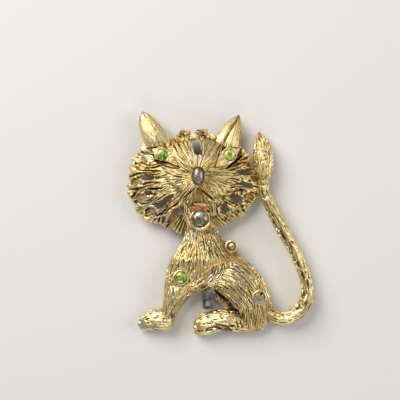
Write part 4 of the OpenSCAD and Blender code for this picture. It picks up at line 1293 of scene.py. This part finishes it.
def bumped(tree, height, strength, depth_mm, under=None):
    """Bump from a height, over another bump if there is one"""
    inputs = {"Strength": strength, "Distance": depth_mm * MM, "Height": height}
    if under:
        inputs["Normal"] = under
    return add_node(tree, "Bump", inputs).outputs["Normal"]


def combed_noise(tree):
    """Noise that is fine across the hair and long along it"""
    comb = add_node(tree, "Attribute", {}, attribute_name="comb").outputs["Vector"]
    stretched = add_node(tree, "Mapping", {"Vector": comb, "Scale": (3.0, 3.0, 0.30)}).outputs["Vector"]
    return noise(tree, stretched, 1.0, 4.0, 0.6)


# %% Gold of the two castings
CREST = (0.93, 0.79, 0.43)
TONES = [(0.0, CREST), (0.40, CREST), (0.56, (0.78, 0.60, 0.27)), (0.76, (0.28, 0.145, 0.045)),
         (1.0, (0.05, 0.022, 0.010))]
WARM = (0.90, 0.75, 0.40, 1)
AMBER = (0.48, 0.28, 0.07, 1)
NICKEL = (0.58, 0.54, 0.49, 1)
DIRT_AND_SHADE = (0.085, 0.028, 0.016, 1)


def gold(name):
    """Worn gold plating that reads the colour called relief and the comb of the hair"""
    material, tree, shader = new_material(name)
    wear = add_node(tree, "VertexColor", {}, layer_name="relief").outputs
    groove, silver, amber = add_node(tree, "SeparateColor", {"Color": wear["Color"]}).outputs
    scratch = combed_noise(tree)
    where = own_place(tree)
    patches = noise(tree, where, 260)
    flaws = noise(tree, where, 1500)
    grain = noise(tree, where, 2600, 2.0)
    pits = noise(tree, where, 5200)
    depth = added(tree, groove, ranged(tree, scratch, 0.35, 0.65, 0.16, -0.14),
                  ranged(tree, scratch, 0.46, 0.38, 0.0, 0.34))
    bare = added(tree, silver, ranged(tree, flaws, 0.3, 0.7, -0.35, 0.35))
    # Near-black dirt and painted shade, from the relief's alpha and deepened in the scratches
    dirt_and_shade = added(tree, wear["Alpha"], ranged(tree, scratch, 0.35, 0.65, 0.30, -0.60))
    colour = ramp(tree, depth, TONES)
    colour = mixed(tree, ranged(tree, patches, 0.42, 0.62, 0.0, 0.35), colour, WARM, "MULTIPLY")
    colour = mixed(tree, ranged(tree, amber, 0.0, 1.0, 0.0, 0.72), colour, AMBER)
    colour = mixed(tree, ranged(tree, bare, 0.25, 0.75, 0.0, 0.85), colour, NICKEL)
    colour = mixed(tree, ranged(tree, dirt_and_shade, 0.25, 0.75, 0.0, 0.92), colour, DIRT_AND_SHADE)
    rough = added(tree, ranged(tree, grain, 0.3, 0.7, 0.28, 0.42), ranged(tree, groove, 0.55, 0.95, 0.0, 0.3),
                  ranged(tree, amber, 0.0, 1.0, 0.0, 0.18))
    normal = bumped(tree, scratch, 0.9, 0.19, bumped(tree, pits, 0.35, 0.08))
    feed(tree, shader, {"Base Color": colour, "Metallic": ranged(tree, groove, 0.62, 0.95, 1.0, 0.35),
                        "Roughness": rough, "Normal": normal})
    return material


finish_piece(body, gold("gold_body"), "gold_body", "body")
finish_piece(head, gold("gold_head"), "gold_head", "head")

# %% [markdown]
# ## Stones
# The stones are round, cut glass on foil: a flat table, a crown of facets, a thin girdle and a pointed
# pavilion. The hull of five rings gives exactly those facets. The foil under a stone throws the light back in
# small flecks, and these reflections are painted into the colour as cells, light and dark, over the glass's
# own green or grey, under a hard glossy coat. The chin stone also gets a painted highlight, a pale patch near
# its top.


# %% A cut stone and its glass
RINGS = [(16, 0.5, 0.0, 0), (16, 0.5, GIRDLE, 0), (8, 0.40, GIRDLE + 0.12, 22.5), (8, 0.28, GIRDLE + 0.17, 0),
         (8, CULET / 2, -PAVILION, 0)]
GREENS = [(0.0, (0.06, 0.11, 0.015)), (0.20, (0.16, 0.24, 0.03)), (0.45, (0.32, 0.42, 0.05)),
          (0.75, (0.46, 0.56, 0.09)), (1.0, (0.82, 0.88, 0.40))]
GREYS = [(0.0, (0.08, 0.058, 0.032)), (0.4, (0.17, 0.13, 0.08)), (0.8, (0.26, 0.215, 0.14)),
         (1.0, (0.46, 0.41, 0.28))]
# Painted highlight: a pale mint patch near the top of the chin stone, where the lamp's reflection falls
CHIN_PAINTED_HIGHLIGHT = ((*(on_head(*CHIN_AT) + (-0.1, 1.1)), CHIN_GIRDLE + 0.6), 0.95, (0.62, 0.80, 0.62, 1))


def cut_stone(name, at, girdle, d):
    """Round stone with its girdle's lower edge at a height in mm"""
    bm = bmesh.new()
    for sides, radius, height, turn in RINGS:
        ring = bmesh.ops.create_circle(bm, segments=sides, radius=radius * d)["verts"]
        bmesh.ops.rotate(bm, verts=ring, cent=(0, 0, 0), matrix=Matrix.Rotation(math.radians(turn), 3, "Z"))
        bmesh.ops.translate(bm, verts=ring, vec=(at[0], at[1], girdle + height * d))
    hull = bmesh.ops.convex_hull(bm, input=list(bm.verts))
    spare = [g for g in hull["geom_interior"] + hull["geom_unused"] if isinstance(g, bmesh.types.BMVert)]
    bmesh.ops.delete(bm, geom=spare, context="VERTS")
    bmesh.ops.recalc_face_normals(bm, faces=bm.faces)
    return new_piece(name, bm)


def foiled_glass(name, flecks, cell, metallic, painted_highlight=None):
    """Glass on foil: flecks is a list of (place, colour), cell the size of a fleck in mm

    The last argument is a painted highlight: a pale patch that stands in for the lamp's reflection, given as
    its middle in mm, its radius and its colour.
    """
    material, tree, shader = new_material(name)
    where = own_place(tree)
    # Light and dark cells of colour: painted reflections of the foil, over the glass's own green or grey
    cells = add_node(tree, "TexVoronoi", {"Vector": where, "Scale": 1 / (cell * MM)}).outputs["Color"]
    tone, gloss, _ = add_node(tree, "SeparateColor", {"Color": cells}).outputs
    cloud = ranged(tree, noise(tree, where, 900), 0.35, 0.65, 0.0, 0.4)
    colour = mixed(tree, cloud, ramp(tree, tone, flecks), (*flecks[len(flecks) // 2][1], 1))
    # Painted highlight mixed into the colour
    if painted_highlight:
        middle, radius, pale = painted_highlight
        far = add_node(tree, "VectorMath", {0: where, 1: Vector(middle) * MM}, operation="DISTANCE")
        near = ranged(tree, far.outputs["Value"], 0.5 * radius * MM, radius * MM, 0.9, 0.0)
        colour = mixed(tree, near, colour, pale)
    feed(tree, shader, {"Base Color": colour, "Roughness": ranged(tree, gloss, 0, 1, 0.10, 0.28)})
    shader.inputs["Metallic"].default_value = metallic
    shader.inputs["IOR"].default_value = 1.6
    shader.inputs["Coat Weight"].default_value = 0.7
    shader.inputs["Coat Roughness"].default_value = 0.06
    return material


green = foiled_glass("green_stone", GREENS, 0.62, 0.35)
grey = foiled_glass("grey_stone", GREYS, 0.6, 0.5, CHIN_PAINTED_HIGHLIGHT)
for node, at, girdle, d, glass, slot in (
        ("eye_stone_left", on_head(*EYE_LEFT[:2]), EYE_GIRDLES[0], EYE_D, green, "green_stone"),
        ("eye_stone_right", on_head(*EYE_RIGHT[:2]), EYE_GIRDLES[1], EYE_D, green, "green_stone"),
        ("chest_stone", CHEST_STONE_AT, CHEST_TOP - GIRDLE * CHEST_D, CHEST_D, green, "green_stone"),
        ("chin_stone", on_head(*CHIN_AT), CHIN_GIRDLE, CHIN_D, grey, "grey_stone")):
    finish_piece(cut_stone("cut_" + node, at, girdle, d), glass, slot, node, smooth=False)

# %% [markdown]
# ## Nose and mouth
# The nose is a worn oval bead of grey metal with shallow dents. The mouth is red enamel, which lies in two
# small domed drops in its recess.


# %% Nose bead and red enamel
BED_Z = MOUTH_Z - 0.35
REDS = [(0.30, (0.24, 0.013, 0.006)), (0.5, (0.52, 0.028, 0.012)), (0.72, (0.80, 0.14, 0.05))]


def worn_metal(name, dark, light, low, high, grain_size):
    """Bare metal with darker tarnish patches and fine scratches in its gloss"""
    material, tree, shader = new_material(name)
    where = own_place(tree)
    patch = noise(tree, where, 1 / (grain_size * MM), 4.0)
    feed(tree, shader, {"Base Color": ramp(tree, patch, [(0.32, dark), (0.68, light)]),
                        "Roughness": ranged(tree, patch, 0.3, 0.7, low, high),
                        "Normal": bumped(tree, noise(tree, where, 4500), 0.25, 0.05)})
    shader.inputs["Metallic"].default_value = 1.0
    return material


def enamel_drops():
    """Two domed drops on a thin bed, inside the mouth's recess"""
    bed = mouth_oval("mouth_drops", 0, MOUTH_Z - MOUTH_DEPTH, BED_Z)
    for side, size in ((-1, 0.58), (1, 0.46)):
        bm = bmesh.new()
        bmesh.ops.create_icosphere(bm, subdivisions=4, radius=1)
        for vert in bm.verts:
            x, y, z = vert.co
            vert.co = (MOUTH_MM[0] + side * 0.86 + x * size, MOUTH_MM[1] + y * 0.44,
                       MOUTH_Z - 0.34 + z * 0.15 + 0.19 * max(0, z))
        combine(bed, roughened(new_piece("drop", bm), 0.26, 0.30, 0.16, 311 + side), "UNION")
    return bed


def enamel(name):
    """Mottled red enamel, with the brown bed showing between the drops"""
    material, tree, shader = new_material(name)
    where = own_place(tree)
    height = add_node(tree, "SeparateXYZ", {"Vector": where}).outputs["Z"]
    on_bed = ranged(tree, height, BED_Z * MM + 0.02 * MM, BED_Z * MM + 0.12 * MM, 0.85, 0.0)
    colour = mixed(tree, on_bed, ramp(tree, noise(tree, where, 900), REDS), (0.42, 0.22, 0.06, 1))
    rough = ranged(tree, noise(tree, where, 2200), 0.3, 0.7, 0.16, 0.34)
    feed(tree, shader, {"Base Color": colour, "Roughness": rough})
    shader.inputs["Coat Weight"].default_value = 0.6
    return material


worn_tip = worn_metal("nose_metal", (0.20, 0.17, 0.14), (0.46, 0.42, 0.36), 0.34, 0.50, 0.6)
finish_piece(nose_bead("nose_bead", 0, 0.10), worn_tip, "nose_metal", "nose")
finish_piece(enamel_drops(), enamel("red_enamel"), "red_enamel", "mouth_enamel", angle=40)

# %% [markdown]
# ## The pin on the back
# A stamped steel bar with a hole at each end lies in the hollow back. It carries a hinge block, a stem and
# a hooked catch. Its lower end shows between the legs. The edges are rounded a little, as stamping leaves
# them.


# %% Bar, hinge, stem and catch
HINGE = 2.4
CATCH_L = 1.2
STEM_D = 0.8
HOLE_D = 1.2


def is_sharp(edge):
    """True where two faces meet at more than 40 degrees"""
    return len(edge.link_faces) == 2 and edge.calc_face_angle(0) > math.radians(40)


def is_upright(edge):
    """True for the edges between the bar's top and its foot"""
    return abs(edge.verts[0].co.z - edge.verts[1].co.z) > 0.5 * PIN_T


def bevelled(piece, chosen, width, segments=2):
    """Rounds the edges of a piece that are chosen by a test"""
    bm = bmesh.new()
    bm.from_mesh(piece.data)
    edges = [e for e in bm.edges if chosen(e)]
    bmesh.ops.bevel(bm, geom=edges, offset=width, offset_type="OFFSET", affect="EDGES", segments=segments,
                    profile=0.5, material=-1, clamp_overlap=True)
    bm.to_mesh(piece.data)
    bm.free()
    return piece


def along_y(name, at_x, y1, y2, z, radius, tip=1.0):
    """Round bar along Y between two places, with its tip at y2"""
    bm = bmesh.new()
    bmesh.ops.create_cone(bm, cap_ends=True, segments=32, radius1=radius, radius2=radius * tip,
                          depth=abs(y2 - y1))
    turn = Matrix.Rotation(math.radians(90 if y2 < y1 else -90), 3, "X")
    bmesh.ops.rotate(bm, verts=bm.verts, cent=(0, 0, 0), matrix=turn)
    bmesh.ops.translate(bm, verts=bm.verts, vec=(at_x, (y1 + y2) / 2, z))
    return new_piece(name, bm)


def pin():
    """The steel piece: a bar with two holes, a hinge block, a stem and a hooked catch"""
    x, y = PIN_AT
    half = PIN_L / 2
    stem_z = PIN_Z / 2
    hinge_y = y + half - PIN_W - HINGE / 2
    catch_y = y - half + PIN_W + CATCH_L
    bar = block("steel_pin", (x - PIN_W / 2, y - half, PIN_Z), (x + PIN_W / 2, y + half, PIN_Z + PIN_T))
    bevelled(bar, is_upright, 0.28 * PIN_W, 6)
    for side in (-1, 1):
        hole = [(PIN_Z - 1, HOLE_D / 2), (PIN_Z + PIN_T + 1, HOLE_D / 2)]
        combine(bar, turned("hole", (x, y + side * (half - PIN_W / 2)), hole, 40), "DIFFERENCE")
    bevelled(bar, is_sharp, 0.16)
    hinge = block("hinge", (x - HINGE / 2, hinge_y - HINGE / 2, 0),
                  (x + HINGE / 2, hinge_y + HINGE / 2, PIN_Z + 0.05))
    combine(bar, bevelled(hinge, is_sharp, 0.30), "UNION")
    combine(bar, along_y("stem", x, hinge_y, catch_y - CATCH_L * 0.5, stem_z, STEM_D / 2, 0.55), "UNION")
    roll = along_y("catch", x, catch_y + CATCH_L / 2, catch_y - CATCH_L / 2, stem_z, stem_z)
    combine(roll, block("mouth", (x + STEM_D / 2, catch_y - CATCH_L, stem_z - STEM_D),
                        (x + 2, catch_y + CATCH_L, stem_z - STEM_D / 2)), "DIFFERENCE")
    combine(bar, roll, "UNION")
    return bar


steel = worn_metal("pin_steel", (0.22, 0.21, 0.20), (0.50, 0.49, 0.47), 0.24, 0.36, 1.8)
finish_piece(pin(), steel, "steel", "pin_back", angle=35)
